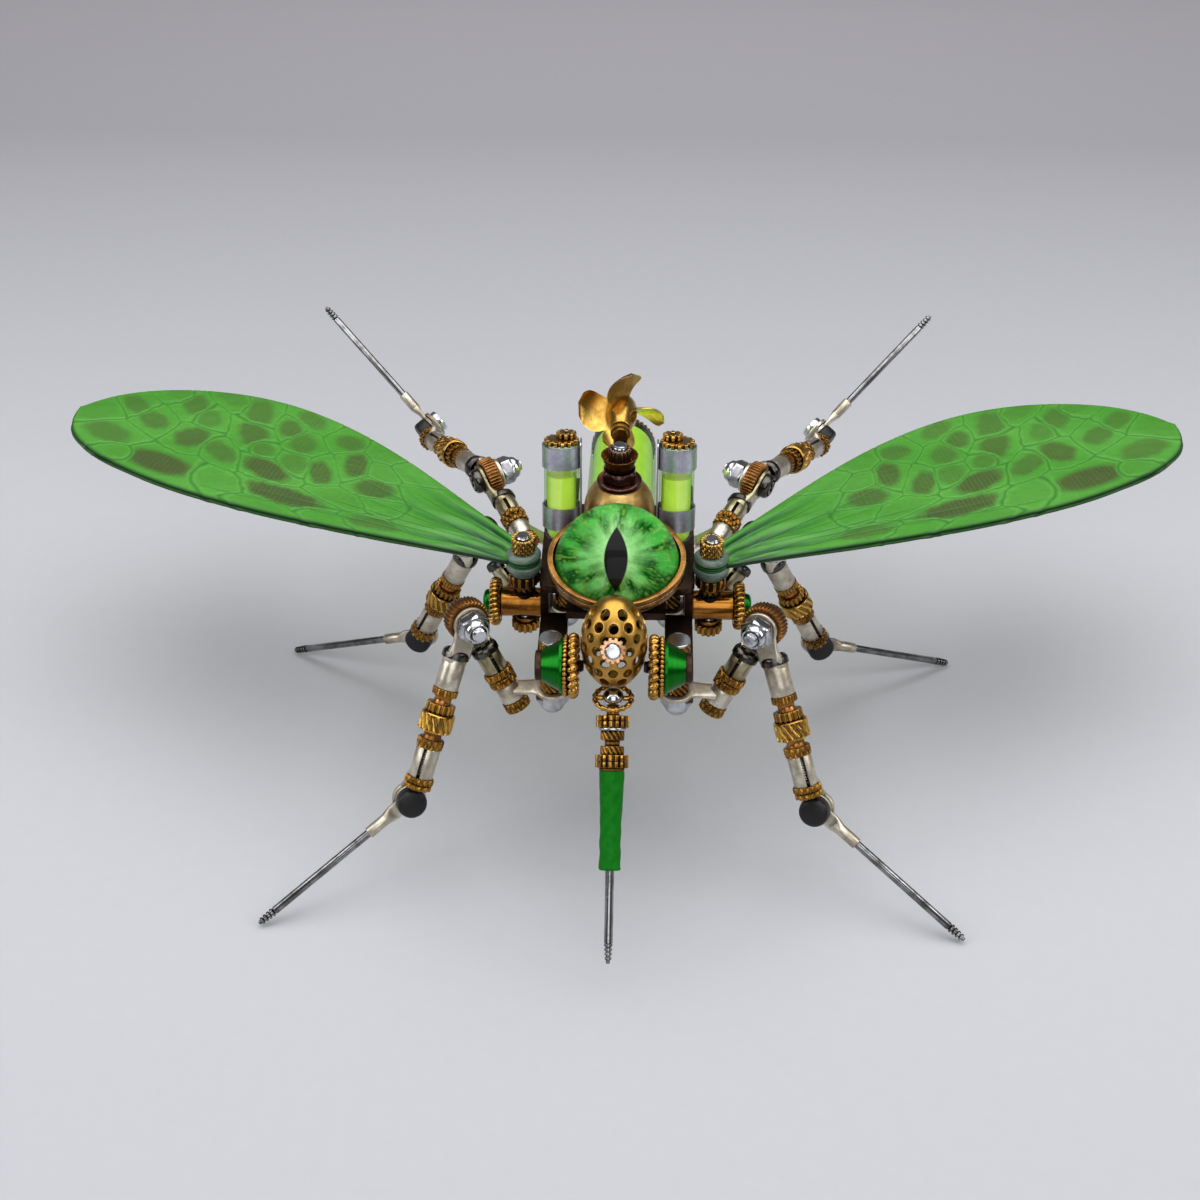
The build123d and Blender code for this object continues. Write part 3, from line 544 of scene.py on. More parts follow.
def black_cap():
    p = Paint("black_plastic")
    fine = p.noise(1400, 3, 0.7)
    # Lighter grey along the edges: painted edge highlight, partly worn plastic.
    edge_wear_and_highlight = p.edges(0.2)
    p.set(Base_Color=p.mix(edge_wear_and_highlight, srgb(7, 7, 8), srgb(40, 40, 42)), Specular_IOR_Level=0.4,
          Roughness=p.ramp(fine, (0.3, 0.34), (0.7, 0.52)))
    p.bump(fine, 0.2, 0.03)
    return p.mat


def anodised():
    p = Paint("green_anodised")
    turned = p.noise(2600, 2, 0.5, stretch=(1.0, 0.05, 0.05))
    colour = p.mix(turned, srgb(0, 72, 6), srgb(4, 118, 16))
    # Lighter green along sharp edges: painted edge highlight, partly worn anodising.
    p.set(Base_Color=p.mix(p.edges(0.15), colour, srgb(36, 150, 44)), Metallic=0.85, Roughness=0.26,
          Anisotropic=0.5)
    p.bump(turned, 0.08, 0.02)
    return p.mat


def rubber():
    p = Paint("grommet")
    cloud = p.noise(420, 4, 0.6)
    colour = p.ramp(cloud, (0.3, srgb(74, 98, 84)), (0.7, srgb(124, 146, 130)))
    p.set(Base_Color=colour, Roughness=0.32, Transmission_Weight=0.35, IOR=1.45, Subsurface_Weight=0.3,
          Subsurface_Radius=(0.0015, 0.002, 0.0015), Coat_Weight=0.3, Coat_Roughness=0.2)
    p.bump(cloud, 0.2, 0.05)
    return p.mat


def glass():
    """Thin clear glass: reflections over a see-through body, lightly tinted at grazing angles."""
    p = Paint("clear_glass")
    facing = p.add("LayerWeight", Blend=0.25).outputs["Facing"]
    tint = p.ramp(facing, (0.0, (0.97, 0.99, 0.95)), (0.75, srgb(196, 222, 170)), (1.0, srgb(90, 120, 70)))
    clear = p.add("BsdfTransparent", Color=tint)
    shine = p.add("BsdfGlossy", Color=(1, 1, 1), Roughness=0.03)
    dust = p.noise(900, 3, 0.6)
    fac = p.math("MULTIPLY_ADD", p.ramp(facing, (0.0, 0.05), (0.7, 0.16), (1.0, 0.75)), 1.0,
                 p.math("MULTIPLY", p.ramp(dust, (0.62, 0.0), (0.8, 1.0)), 0.06))
    both = p.add("MixShader", Fac=fac)
    p.put(both, "i1", clear.outputs[0])
    p.put(both, "i2", shine.outputs[0])
    p.tree.links.new(both.outputs[0], p.out.inputs["Surface"])
    return p.mat


def liquid(name, glow):
    p = Paint(name)
    facing = p.add("LayerWeight", Blend=0.3).outputs["Facing"]
    cloud = p.noise(260, 3, 0.5)
    # Bright where the liquid faces the camera and dark at grazing angles: painted light through the tube and
    # painted shade at its sides.
    facing_light_and_shade = p.ramp(facing, (0.0, srgb(206, 232, 84)), (0.55, srgb(176, 208, 40)), (1.0, srgb(60, 100, 8)))
    colour = p.mix(0.25, facing_light_and_shade, p.ramp(cloud, (0.3, srgb(160, 196, 34)), (0.7, srgb(222, 240, 110))))
    # The emission is a painted glow; the liquid is no lamp.
    p.set(Base_Color=colour, Roughness=0.08, Coat_Weight=0.3, Emission_Color=colour, Emission_Strength=glow)
    return p.mat


def wing_skin():
    p = Paint("wing_sheet")
    tint = p.add("VertexColor", layer_name="tint").outputs["Color"]
    mottle = p.noise(1500, 4, 0.7)
    fibre = p.noise(700, 3, 0.6, stretch=(0.25, 1, 1))
    colour = p.mix(0.5, tint, p.ramp(mottle, (0.25, 0.72), (0.75, 1.2)), "MULTIPLY")
    colour = p.mix(0.35, colour, p.ramp(fibre, (0.3, 0.8), (0.7, 1.15)), "MULTIPLY")
    p.set(Base_Color=colour, Roughness=p.ramp(mottle, (0.3, 0.34), (0.7, 0.5)), Specular_IOR_Level=0.35,
          Coat_Weight=0.15, Coat_Roughness=0.25)
    p.bump(fibre, 0.12, 0.05)
    return p.mat


def sleeve_skin():
    p = Paint("shrink_sleeve")
    fine = p.noise(900, 4, 0.6)
    p.set(Base_Color=p.ramp(fine, (0.3, srgb(0, 92, 4)), (0.7, srgb(0, 108, 10))),
          Roughness=p.ramp(fine, (0.3, 0.4), (0.7, 0.55)), Specular_IOR_Level=0.12)
    p.bump(fine, 0.15, 0.03)
    return p.mat


def iris():
    """Painted iris under clear glass: colours come from the mesh, with fine grain on top."""
    p = Paint("cat_eye_glass")
    tint = p.add("VertexColor", layer_name="tint").outputs["Color"]
    grain = p.noise(1500, 5, 0.75)
    fleck = p.noise(420, 4, 0.6)
    colour = p.mix(0.55, tint, p.ramp(grain, (0.28, 0.62), (0.72, 1.3)), "MULTIPLY")
    colour = p.mix(0.5, colour, p.ramp(fleck, (0.35, 0.75), (0.65, 1.2)), "MULTIPLY")
    # The weak emission is a painted glow that lifts the iris.
    p.set(Base_Color=colour, Roughness=0.35, Specular_IOR_Level=0.06, Coat_Weight=0.16, Coat_Roughness=0.03,
          Coat_IOR=1.45, Emission_Color=colour, Emission_Strength=0.04)
    return p.mat


CAP = black_cap()
GREEN = anodised()
RUBBER = rubber()
GLASS = glass()
LIQUID = liquid("green_liquid", 0.3)
GLOWING = liquid("glowing_liquid", 0.75)
WING = wing_skin()
SLEEVE = sleeve_skin()
IRIS = iris()


# ---------------------------------------------------------------- carried-over CAD nodes
def dress(node, material, bevel=0.1):
    """Carried-over CAD node: material, welded seams and softened edges."""
    obj = frame["nodes"][node]
    obj.data.materials.clear()
    obj.data.materials.append(material)
    if "custom_normal" in obj.data.attributes:
        obj.data.attributes.remove(obj.data.attributes["custom_normal"])
    obj.data.shade_smooth()
    weld = obj.modifiers.new("weld", "WELD")
    weld.merge_threshold = WELD_GAP
    edge = obj.modifiers.new("edge", "BEVEL")
    edge.width = bevel * MM
    edge.segments = 2
    edge.angle_limit = SOFT_EDGE
    obj.modifiers.new("flat", "WEIGHTED_NORMAL")


dress("chassis", FRAME, 0.2)
dress("hip_screws", ACORN, 0.15)
dress("bell_dome", BELL, 0.3)
dress("propeller_mast", PROP_GOLD, 0.1)
dress("glass_vials", GLASS, 0.1)
dress("vial_liquid", LIQUID, 0.1)
dress("abdomen_glass", GLASS, 0.15)
dress("abdomen_liquid", GLOWING, 0.1)
dress("abdomen_caps", POLISHED, 0.15)
dress("cross_tubes", TUBE_BRASS, 0.15)
dress("head_shell", EGG_BRASS, 0.08)
dress("nose_socket", ROPE_GOLD, 0.05)
dress("proboscis_needle", ROD, 0.05)


# ---------------------------------------------------------------- legs
def lug(build, ring, normal, start, end, split=None, material=0, radius=BARREL_R, bore=LUG_BORE):
    """Crimp lug: eyelet ring, tongue that swells into a barrel, and the barrel, split or closed."""
    axis = unit(end - start)
    length = np.linalg.norm(end - start)
    where = place(ring, normal, start - ring)
    collar(build, where, bore, LUG_EYE_R, -LUG_SHEET, LUG_SHEET, material=material, edge=0.1, around=56)
    flat = square_to(start - ring, unit(normal))
    wide = unit(np.cross(unit(normal), flat))
    tube_wide = square_to(wide, axis)
    tube_up = unit(np.cross(axis, tube_wide))
    if tube_up @ np.asarray(normal) < 0:
        tube_up = -tube_up
    low = 1 if (ring - start) @ tube_up > 0 else -1
    sections = []
    first = ring + flat * 1.9
    for s in np.linspace(0, 1, 12):
        swell = clamp((s - 0.35) / 0.65) ** 1.5
        inside = start + axis * 0.9 + tube_up * low * (radius - 0.42)
        centre = first + (inside - first) * s
        mix = clamp((s - 0.1) / 0.6)
        up = unit(unit(normal) * (1 - mix) + tube_up * mix)
        across = square_to(wide * (1 - mix) + tube_wide * mix, up)
        half_w = 2.55 - 0.35 * sin(pi * min(s * 1.2, 1)) * (1 - swell) + (radius - 2.55) * swell
        half_h = LUG_SHEET + (radius - LUG_SHEET) * swell
        centre = centre - tube_up * low * (half_h - LUG_SHEET)
        sections.append((centre, across, up, half_w, half_h, 5 - 3 * min(1, swell * 1.3)))
    loft(build, sections, material)
    barrel = place(start, axis, tube_up * low if split is None else split)
    if split is None:
        profile = bush(bore, radius, 0, length, edge=0.14, rows=4)
        turned(build, barrel, profile, 48, material)
    else:
        gap = 0.16
        rim = 0.12
        section = []
        for t in np.linspace(gap, TAU - gap, 44):
            section.append((radius * cos(t), radius * sin(t)))
        for t in np.linspace(TAU - gap, gap, 44):
            section.append((bore * cos(t), bore * sin(t)))
        section = np.array(section)
        mean = (radius + bore) / 2
        rows = []
        for z, shrink in ((0, rim), (rim, 0), (length - rim, 0), (length, rim)):
            r = np.linalg.norm(section, axis=1, keepdims=True)
            scaled = section * (1 + (mean - r) / r * shrink * 1.4)
            rows.append(np.column_stack([scaled, np.full(len(section), z)]))
        build.grid(put(barrel, np.array(rows)), material, wrap_v=True, flip=True)
        for row, turn in ((rows[0], False), (rows[-1], True)):
            half = len(row) // 2
            strip = np.stack([row[:half], row[half:][::-1]])
            build.grid(put(barrel, strip), material, flip=turn)


def pan_screw(build, where, z0, up, material):
    """Pan head with a deep cross recess, turned on a fine polar grid."""
    radii = np.concatenate([np.linspace(0.02, 1.7, 12), [2.0, 2.3, 2.55, 2.68, 2.7, 2.7, 1.6]])
    height = np.where(radii < 1.7, 1.8, 0.0)
    height[12:] = (1.74, 1.6, 1.35, 1.0, 0.6, 0.0, 0.0)
    t = np.linspace(0, TAU, 96, endpoint=False)
    rr, tt = np.meshgrid(radii, t, indexing="ij")
    hh = np.repeat(height[:, None], len(t), 1)
    x, y = rr * np.cos(tt), rr * np.sin(tt)
    arm = np.minimum(np.abs(x), np.abs(y))
    reach = np.maximum(np.abs(x), np.abs(y))
    sunk = clamp((0.42 - arm) / 0.12) * clamp((1.55 - reach) / 0.25)
    hh = hh - 1.1 * sunk * (hh > 1.7)
    points = put(where, np.stack([x, y, z0 + up * hh], -1))
    build.grid(points, material, wrap_v=True, flip=up < 0)


def thread(build, where, r, z0, z1, material, pitch=0.5):
    """Screw thread with a chamfered end."""
    steps = max(int((z1 - z0) / pitch * 6), 4)
    z = np.linspace(z0, z1, steps)
    t = np.linspace(0, TAU, 24, endpoint=False)
    zz, tt = np.meshgrid(z, t, indexing="ij")
    depth = 0.16 * (np.abs(((zz / pitch + tt / TAU) % 1.0) - 0.5) * 2)
    ends = np.minimum(np.minimum(zz - z0, z1 - zz) / 0.4, 1)
    rr = r - depth - 0.25 * (1 - ends)
    points = np.stack([rr * np.cos(tt), rr * np.sin(tt), zz], -1)
    points = np.concatenate([points[:1] * [0, 0, 1], points, points[-1:] * [0, 0, 1]])
    build.grid(put(where, points), material, wrap_v=True, flip=True)


def hex_nut(build, where, flats, z0, z1, material, bore=1.4, crown=0.0):
    """Hexagon nut with turned chamfers and, when asked for, the round crown of a lock nut."""

    def cut(t, z, r):
        side = flats / 2 / np.cos(((t + pi / 6) % (pi / 3)) - pi / 6)
        return np.minimum(r, side)

    corner = flats / 2 / cos(pi / 6)
    profile = [(bore, z0 + 0.1), (bore + 0.3, z0), (flats / 2 - 0.1, z0), (corner - 0.1, z0 + 0.35),
               (corner, z0 + 0.7),
               (corner, z1 - 0.7), (corner - 0.1, z1 - 0.4), (flats / 2 - 0.05, z1)]
    if crown:
        profile += [(2.45, z1 + 0.02), (2.42, z1 + crown * 0.45), (2.2, z1 + crown * 0.8), (1.9, z1 + crown),
                    (1.6, z1 + crown - 0.05)]
    profile += [(bore, z1 + crown - 0.4)]
    turned(build, where, profile, 72, material, cut)


def leg(name):
    hip, knee = pivot(name + "_hip"), pivot(name + "_knee")
    ankle = pivot(name + "_ankle")
    femur_parts = sorted(islands(name + "_femur_collars"), key=lambda i: np.linalg.norm(i.centre - knee))
    femur = unit(femur_parts[-1].points.mean(0) - knee)
    tibia_parts = sorted(islands(name + "_tibia_collars"), key=lambda i: np.linalg.norm(i.centre - knee))
    tibia = unit(tibia_parts[-1].points.mean(0) - knee)
    lugs = islands(name + "_femur_lugs")
    bolt_axis = joint_axis(name + "_knee")
    reach = np.concatenate([(i.points - knee) @ bolt_axis for i in lugs if np.ptp(i.points @ bolt_axis) > 9
                            and np.linalg.norm(i.points.mean(0) - knee) < 4])
    if reach.max() < -reach.min():
        bolt_axis = -bolt_axis
    pin_axis = joint_axis(name + "_ankle")
    tarsus_points = np.concatenate([i.points for i in islands(name + "_tarsus")])
    cap_side = [i for i in islands(name + "_tarsus") if 5.5 < np.ptp(i.points @ pin_axis) + 5 < 8.2]
    if cap_side and (cap_side[0].points.mean(0) - ankle) @ pin_axis < 0:
        pin_axis = -pin_axis
    far = tarsus_points[np.argmax(np.linalg.norm(tarsus_points - ankle, axis=1))]
    return dict(hip=hip, knee=knee, ankle=ankle, femur=femur, tibia=tibia, bolt=bolt_axis, pin=pin_axis,
                tip=far,
                femur_parts=femur_parts, tibia_parts=tibia_parts)


def span(island, origin, axis):
    """(z0, z1, outer radius, bore radius) of an island along a line."""
    _, z0, z1, ro, ri = island.along(axis, origin)
    return z0, z1, ro, ri


def femur_collars(name, p):
    b = Build()
    wheel, first, second, last = p["femur_parts"][:4]
    z0, z1, ro, ri = span(wheel, p["knee"], p["bolt"])
    collar(b, place(p["knee"], p["bolt"], p["femur"]), ri, ro, z0, z1, straight(34), 0.26, 1, around=272,
           rows=3,
           edge=0.2)
    line = place(p["knee"], p["femur"], p["bolt"])
    for part in (first, second, last):
        z0, z1, ro, ri = span(part, p["knee"], p["femur"])
        collar(b, line, ri, ro, z0, z1, diamond(13, 0.55 / ro), 0.34, 0, around=130, rows=11, edge=0.12)
    b.piece(name + "_femur_collars_turned", name + "_femur", [KNURLED, COPPER], [name + "_femur_collars"])


def tibia_collars(name, p):
    b = Build()
    line = place(p["knee"], p["tibia"], p["bolt"])
    styles = ((straight(22), 0.22, 0), (None, 0, 1), (straight(16), 0.3, 0), (helical(15, 0.16), 0.42, 2),
              (None, 0, 1), (diamond(12, 0.2), 0.3, 0), (diamond(13, 0.2), 0.34, 0),
              (diamond(12, 0.2), 0.34, 0))
    for part, (pattern, depth, kind) in zip(p["tibia_parts"], styles):
        z0, z1, ro, ri = span(part, p["knee"], p["tibia"])
        if kind == 2:
            collar(b, line, ri, ro, z0, z1, pattern, depth, kind, around=180, rows=14, edge=0.22, rim=True,
                   dish=0.3)
        elif pattern:
            collar(b, line, ri, ro, z0, z1, pattern, depth, kind, around=132, rows=9, edge=0.12)
        else:
            collar(b, line, ri, ro, z0, z1, material=kind, rows=5, waist=0.25, edge=0.12)
    b.piece(name + "_tibia_collars_turned", name + "_tibia", [KNURLED, COPPER, POLISHED],
            [name + "_tibia_collars"])


def femur_lugs(name, p):
    b = Build()
    knee, d, a = p["knee"], p["femur"], p["bolt"]
    first, last = p["femur_parts"][1], p["femur_parts"][3]
    z_first = span(first, knee, d)[0]
    z_second = span(p["femur_parts"][2], knee, d)[1]
    z_last0, z_last1 = span(last, knee, d)[:2]
    z_start = z_first - 4.2
    lug(b, knee - a * 1.95, a, knee + d * z_start, knee + d * z_first, split=split_side(d), material=1)
    start, end = knee + d * z_last0, knee + d * z_second
    hip_lug(b, p["hip"], start, end)
    line = place(knee, d, a)
    thread(b, line, M3_R, z_start - 0.1, z_last1 - 0.2, 3)
    pan_screw(b, line, z_start, -1, 3)
    across = place(knee, a, d)
    thread(b, across, M3_R, -2.5, 7.3, 2)
    pan_screw(b, across, -2.45, -1, 3)
    hex_nut(b, across, M3_NUT_FLATS, 2.45, 5.15, 2, crown=1.4)
    b.piece(name + "_femur_lugs_crimped", name + "_femur", [LUG, SPLIT_LUG, CHROME, DARK_SCREW],
            [name + "_femur_lugs"], weld=False)


def split_side(d):
    """Direction of the barrel seam: up and a little to the front."""
    return square_to(np.array([0.0, -0.55, 0.83]), d)


def hip_lug(b, hip, start, end):
    """Closed barrel whose tongue runs from its side to the eyelet on the hip post."""
    axis = unit(end - start)
    up = np.array([0.0, 0.0, 1.0])
    middle = (start + end) / 2
    inward = square_to(hip - middle, axis)
    root = middle + inward * 1.5
    barrel = place(start, axis, up)
    profile = bush(LUG_BORE, BARREL_R, 0, np.linalg.norm(end - start), edge=0.14, rows=4)
    turned(b, barrel, profile, 48)
    collar(b, place(hip, up), LUG_BORE, LUG_EYE_R, -LUG_SHEET, LUG_SHEET, edge=0.1, around=56)
    flat = square_to(root - hip, up)
    tongue_end = hip + flat * 3.6
    sections = []
    for s in np.linspace(0, 1, 14):
        if s < 0.4:
            centre = hip + flat * (1.9 + (3.6 - 1.9) * s / 0.4)
            mix = 0.0
        else:
            mix = (s - 0.4) / 0.6
            centre = tongue_end + (root - tongue_end) * mix
        bend = clamp((s - 0.25) / 0.35)
        slope = unit(flat * (1 - bend) + unit(root - tongue_end) * bend)
        face = square_to(up, slope)
        across = unit(np.cross(face, slope))
        half_w = 2.3 - 0.5 * s + 0.25 * mix
        sections.append((centre, across, face, half_w, 0.4 + 0.45 * mix ** 2, 5 - 2 * mix))
    loft(b, sections, 0)


def tibia_lugs(name, p):
    b = Build()
    knee, d, a, pin = p["knee"], p["tibia"], p["bolt"], p["pin"]
    zs = [span(i, knee, d)[:2] for i in p["tibia_parts"]]
    z_start = zs[0][0] - 6.2
    lug(b, knee + a * 1.95, a, knee + d * z_start, knee + d * zs[0][0])
    ring = p["ankle"] - pin * 0.9
    lug(b, ring, pin, knee + d * zs[6][0], knee + d * zs[5][1], split=split_side(d))
    line = place(knee, d, a)
    thread(b, line, M3_R, z_start - 0.1, zs[7][1] - 0.2, 2)
    pan_screw(b, line, z_start, -1, 1)
    b.piece(name + "_tibia_lugs_crimped", name + "_tibia", [LUG, DARK_SCREW, CHROME], [name + "_tibia_lugs"])


def tarsus(name, p):
    b = Build()
    ankle, pin = p["ankle"], p["pin"]
    t = square_to(p["tip"] - ankle, pin)
    length = (p["tip"] - ankle) @ t
    flat = place(ankle, pin, t)
    line = place(ankle, t, pin)
    collar(b, flat, LUG_BORE, 2.9, -LUG_SHEET, LUG_SHEET, edge=0.1, around=48)
    wide = np.cross(pin, t)
    sections = []
    for s in np.linspace(0, 1, 10):
        swell = clamp((s - 0.55) / 0.45)
        sections.append((ankle + t * (1.7 + 4.3 * s), wide, pin, 1.6 - 0.45 * swell, 0.4 + 0.75 * swell,
                         5 - 3 * swell))
    loft(b, sections, 0)
    turned(b, line, bush(0.82, 1.15, 5.8, 10.2, edge=0.08, rows=3), 32)
    tip_profile = [(0.0, 6.4), (0.8, 6.5), (0.8, length - 3.9), (0.6, length - 3.6)]
    for k in range(4):
        z = length - 3.4 + 0.8 * k
        r = 0.85 - 0.05 * k
        tip_profile += [(0.52 - 0.04 * k, z - 0.1), (r, z), (r, z + 0.4), (0.52 - 0.04 * k, z + 0.5)]
    tip_profile += [(0.42, length - 0.2), (0.3, length), (0.0, length)]
    solid(b, line, tip_profile, 28, 1)
    cap = [(1.5, 0.55), (2.6, 0.5), (2.85, 0.65), (2.9, 0.9), (2.9, 2.6), (2.8, 3.0), (2.5, 3.32),
           (2.0, 3.47), (0.0, 3.5)]
    solid(b, flat, cap, 48, 2)
    head = [(0.0, -2.7), (2.2, -2.7), (2.5, -2.6), (2.6, -2.4), (2.6, -1.45), (1.45, -1.4), (1.45, 0.6)]
    solid(b, flat, head, 40, 3)
    b.piece(name + "_tarsus_bar", name + "_tarsus", [LUG, ROD, CAP, CHROME], [name + "_tarsus"])


LEGS = {}
for row in ("front", "middle", "hind"):
    for side in ("left", "right"):
        who = row + "_" + side
        LEGS[who] = leg(who)
        femur_collars(who, LEGS[who])
        tibia_collars(who, LEGS[who])
        femur_lugs(who, LEGS[who])
        tibia_lugs(who, LEGS[who])
        tarsus(who, LEGS[who])


# ---------------------------------------------------------------- posts, gears and rings on the trunk
UP = np.array([0.0, 0.0, 1.0])
RIGHT = np.array([1.0, 0.0, 0.0])


def hip_spacers():
    b = Build()
    for part in islands("hip_spacers"):
        middle, z0, z1, ro, ri = part.along(UP)
        line = place(middle, UP)
        if ro > 2.1:
            collar(b, line, ri, ro, z0, z1, helical(12, 0.35), 0.35, 0, around=120, rows=12, edge=0.12)
        else:
            collar(b, line, ri, ro, z0, z1, rows=3, waist=0.2)
    b.piece("hip_spacers_turned", "trunk", [KNURLED], ["hip_spacers"])


def post_axis(part):
    """Foot of the wing screw's centre line on the side that a part is on."""
    x, y, _ = pivot("right_wing_swing")
    return np.array([np.sign(part.centre[0]) * abs(x), y, 0.0])


def wing_posts():
    """One stack per side: saddle, stem and gear, collars, knurled nut and the screw through them."""
    b = Build()
    for part in islands("wing_posts"):
        line = place(post_axis(part), UP)
        low, high = part.heights()
        if high - low > 15:
            thread(b, line, M3_R, low, high, 1)
        elif low > 56:
            collar(b, line, 1.42, 2.35, low, high, diamond(15, 0.3), 0.3, 2, around=150, rows=16,
                   edge=0.14, dish=0.1)
        elif high < 40.5:
            collar(b, line, 1.5, 2.8, low, high, straight(14), 0.4, 0, around=112, rows=5)
        elif high < 41.5:
            collar(b, line, 1.5, 2.0, low, high)
        else:
            b.island(part, 3)
            stem_top = 49.4
            collar(b, line, 1.5, 2.14, low + 1.7, stem_top, helical(10, 0.3), 0.3, 0, around=100, rows=8)
            collar(b, line, 1.5, 2.3, stem_top - 0.7, stem_top - 0.1)
            collar(b, line, 1.5, 3.05, stem_top, high, straight(12), 0.5, 0, around=144, rows=7, edge=0.3)
    b.piece("wing_posts_turned", "trunk", [KNURLED, CHROME, POLISHED, FRAME], ["wing_posts"])


def grommets():
    b = Build()
    for part in islands("wing_grommets"):
        low, high = part.heights()
        if low < 53:
            profile = [(1.6, low), (2.7, low), (3.0, low + 0.25), (3.1, low + 0.9), (3.45, low + 1.15),
                       (3.55, low + 1.6),
                       (3.5, high - 0.3), (3.3, high), (1.6, high)]
        else:
            profile = [(1.6, low), (3.2, low), (3.4, low + 0.2), (3.4, low + 0.6), (3.1, low + 0.95),
                       (2.9, high - 0.15),
                       (2.6, high), (1.6, high)]
        turned(b, place(post_axis(part), UP), profile, 64)
    b.piece("wing_grommets_soft", "trunk", [RUBBER], ["wing_grommets"], sharp=60)


def side_gears():
    b = Build()
    for side in (-1, 1):
        mine = on_side("side_gears", side)
        gear = max(mine, key=lambda i: np.ptp(i.points[:, 2]))
        cap = min(mine, key=lambda i: np.ptp(i.points[:, 2]))
        x0, x1 = gear.sideways()
        ro = gear.half_height()
        origin = gear.centre * [0, 1, 1]
        line = place(origin, RIGHT * side)
        mid = (x0 + x1) / 2
        collar(b, line, 1.0, ro - 0.75, x0 + 0.15, x1 - 0.15)
        rope(b, place(origin + RIGHT * side * mid, RIGHT * side), ro - 0.75, 0.85, 1, 26, 0.5, 0, flat=1.3)
        reach = np.abs(cap.points[:, 0]).max()
        profile = [(0.0, 20.6), (0.95, 20.6), (0.95, x1 - 0.3), (2.4, x1 - 0.1), (2.4, x1 + 0.55),
                   (2.2, x1 + 0.95),
                   (1.7, reach - 0.1), (1.2, reach), (0.8, reach - 0.12), (0.0, reach - 0.15)]
        solid(b, line, profile, 48, 1)
    b.piece("side_gears_rope", "trunk", [ROPE_GOLD, GREEN], ["side_gears"])


def eye_rings():
    b = Build()
    for side in (-1, 1):
        mine = sorted(on_side("eye_rings", side),
                      key=lambda i: np.ptp(i.points[:, 2]))
        axle, thin, big = mine
        origin = big.centre * [0, 1, 1]
        line = place(origin, RIGHT * side)
        x = big.sideways()
        ro = big.half_height()
        rope(b, place(origin + RIGHT * side * x.mean(), RIGHT * side), ro - 0.95, 1.05, 1, 22, 0.42, 0)
        collar(b, line, 1.25, ro - 1.2, x[0] + 0.3, x[1] - 0.2, material=1)
        x = thin.sideways()
        ro = thin.half_height()
        beads(b, place(origin + RIGHT * side * x.mean(), RIGHT * side), ro - 0.42, 0.44, 40, 0)
        collar(b, line, 1.25, ro - 0.4, x[0] + 0.1, x[1] - 0.1, material=1)
        x = np.abs(axle.points[:, 0])
        thread(b, line, 1.2, x.min(), x.max(), 1)
    b.piece("eye_rings_rope", "trunk", [ROPE_GOLD, FRAME], ["eye_rings"])


def beads(build, where, major, minor, count, material):
    """Ring of touching beads."""
    u = np.linspace(0, TAU, count * 8, endpoint=False)[:, None]
    v = np.linspace(0, TAU, 12, endpoint=False)[None, :]
    swell = np.sqrt(np.clip(1 - (((u * count / TAU) % 1) * 2 - 1) ** 2 * 0.9, 0.05, 1))
    r = minor * swell
    ring = major + r * np.cos(v)
    points = np.stack([ring * np.cos(u), ring * np.sin(u), r * np.sin(v)], -1)
    build.grid(put(where, points), material, wrap_u=True, wrap_v=True, flip=True)


def compound_eyes():
    b = Build()
    for side in (-1, 1):
        mine = on_side("compound_eyes", side)
        cone = max(mine, key=lambda i: np.ptp(i.points[:, 2]))
        end = min(mine, key=lambda i: np.ptp(i.points[:, 2]))
        origin = cone.centre * [0, 1, 1]
        line = place(origin, RIGHT * side)
        x0, x1 = cone.sideways()
        big = cone.half_height()
        small = end.half_height()
        profile = [(1.3, x0), (big - 0.5, x0), (big - 0.1, x0 + 0.12), (big, x0 + 0.45),
                   (big - 0.08, x0 + 0.7)]
        for s in np.linspace(0.15, 0.94, 10):
            profile.append((big + (small - big) * s, x0 + (x1 - x0) * s))
        profile += [(small + 0.02, x1 - 0.05), (small - 0.2, x1), (1.3, x1)]
        turned(b, line, profile, 72)
        e0, e1 = end.sideways()
        profile = [(1.3, e0), (small - 0.1, e0), (small - 0.02, e0 + 0.15), (small - 0.1, e1 - 0.15),
                   (small - 0.3, e1),
                   (2.1, e1), (1.9, e1 - 0.25), (1.3, e1 - 0.3)]
        turned(b, line, profile, 64, 1)
    b.piece("compound_eyes_turned", "trunk", [GREEN, FRAME], ["compound_eyes"])


hip_spacers()
wing_posts()
grommets()
side_gears()
eye_rings()
compound_eyes()


# ---------------------------------------------------------------- glass eye
def eye_line():
    """Frame of the bezel: z out of the cup, y up the eye."""
    cup = islands("eye_bezel")[0].points
    glass = islands("eye_cabochon")[0].points
    _, _, flat = long_axis(cup)
    if flat[2] < 0:
        flat = -flat
    z = cup @ flat
    rim = cup[np.abs(z - z.max()) < 0.01]
    origin = (rim.max(0) + rim.min(0)) / 2
    return place(origin, flat, RIGHT), glass, cup


EYE, GLASS_POINTS, CUP_POINTS = eye_line()


EYE_GIRDLE = -0.8
EYE_RINGS, EYE_AROUND = 200, 480


def local(where, points):
    return (points - where[:, 3]) @ where[:, :3]


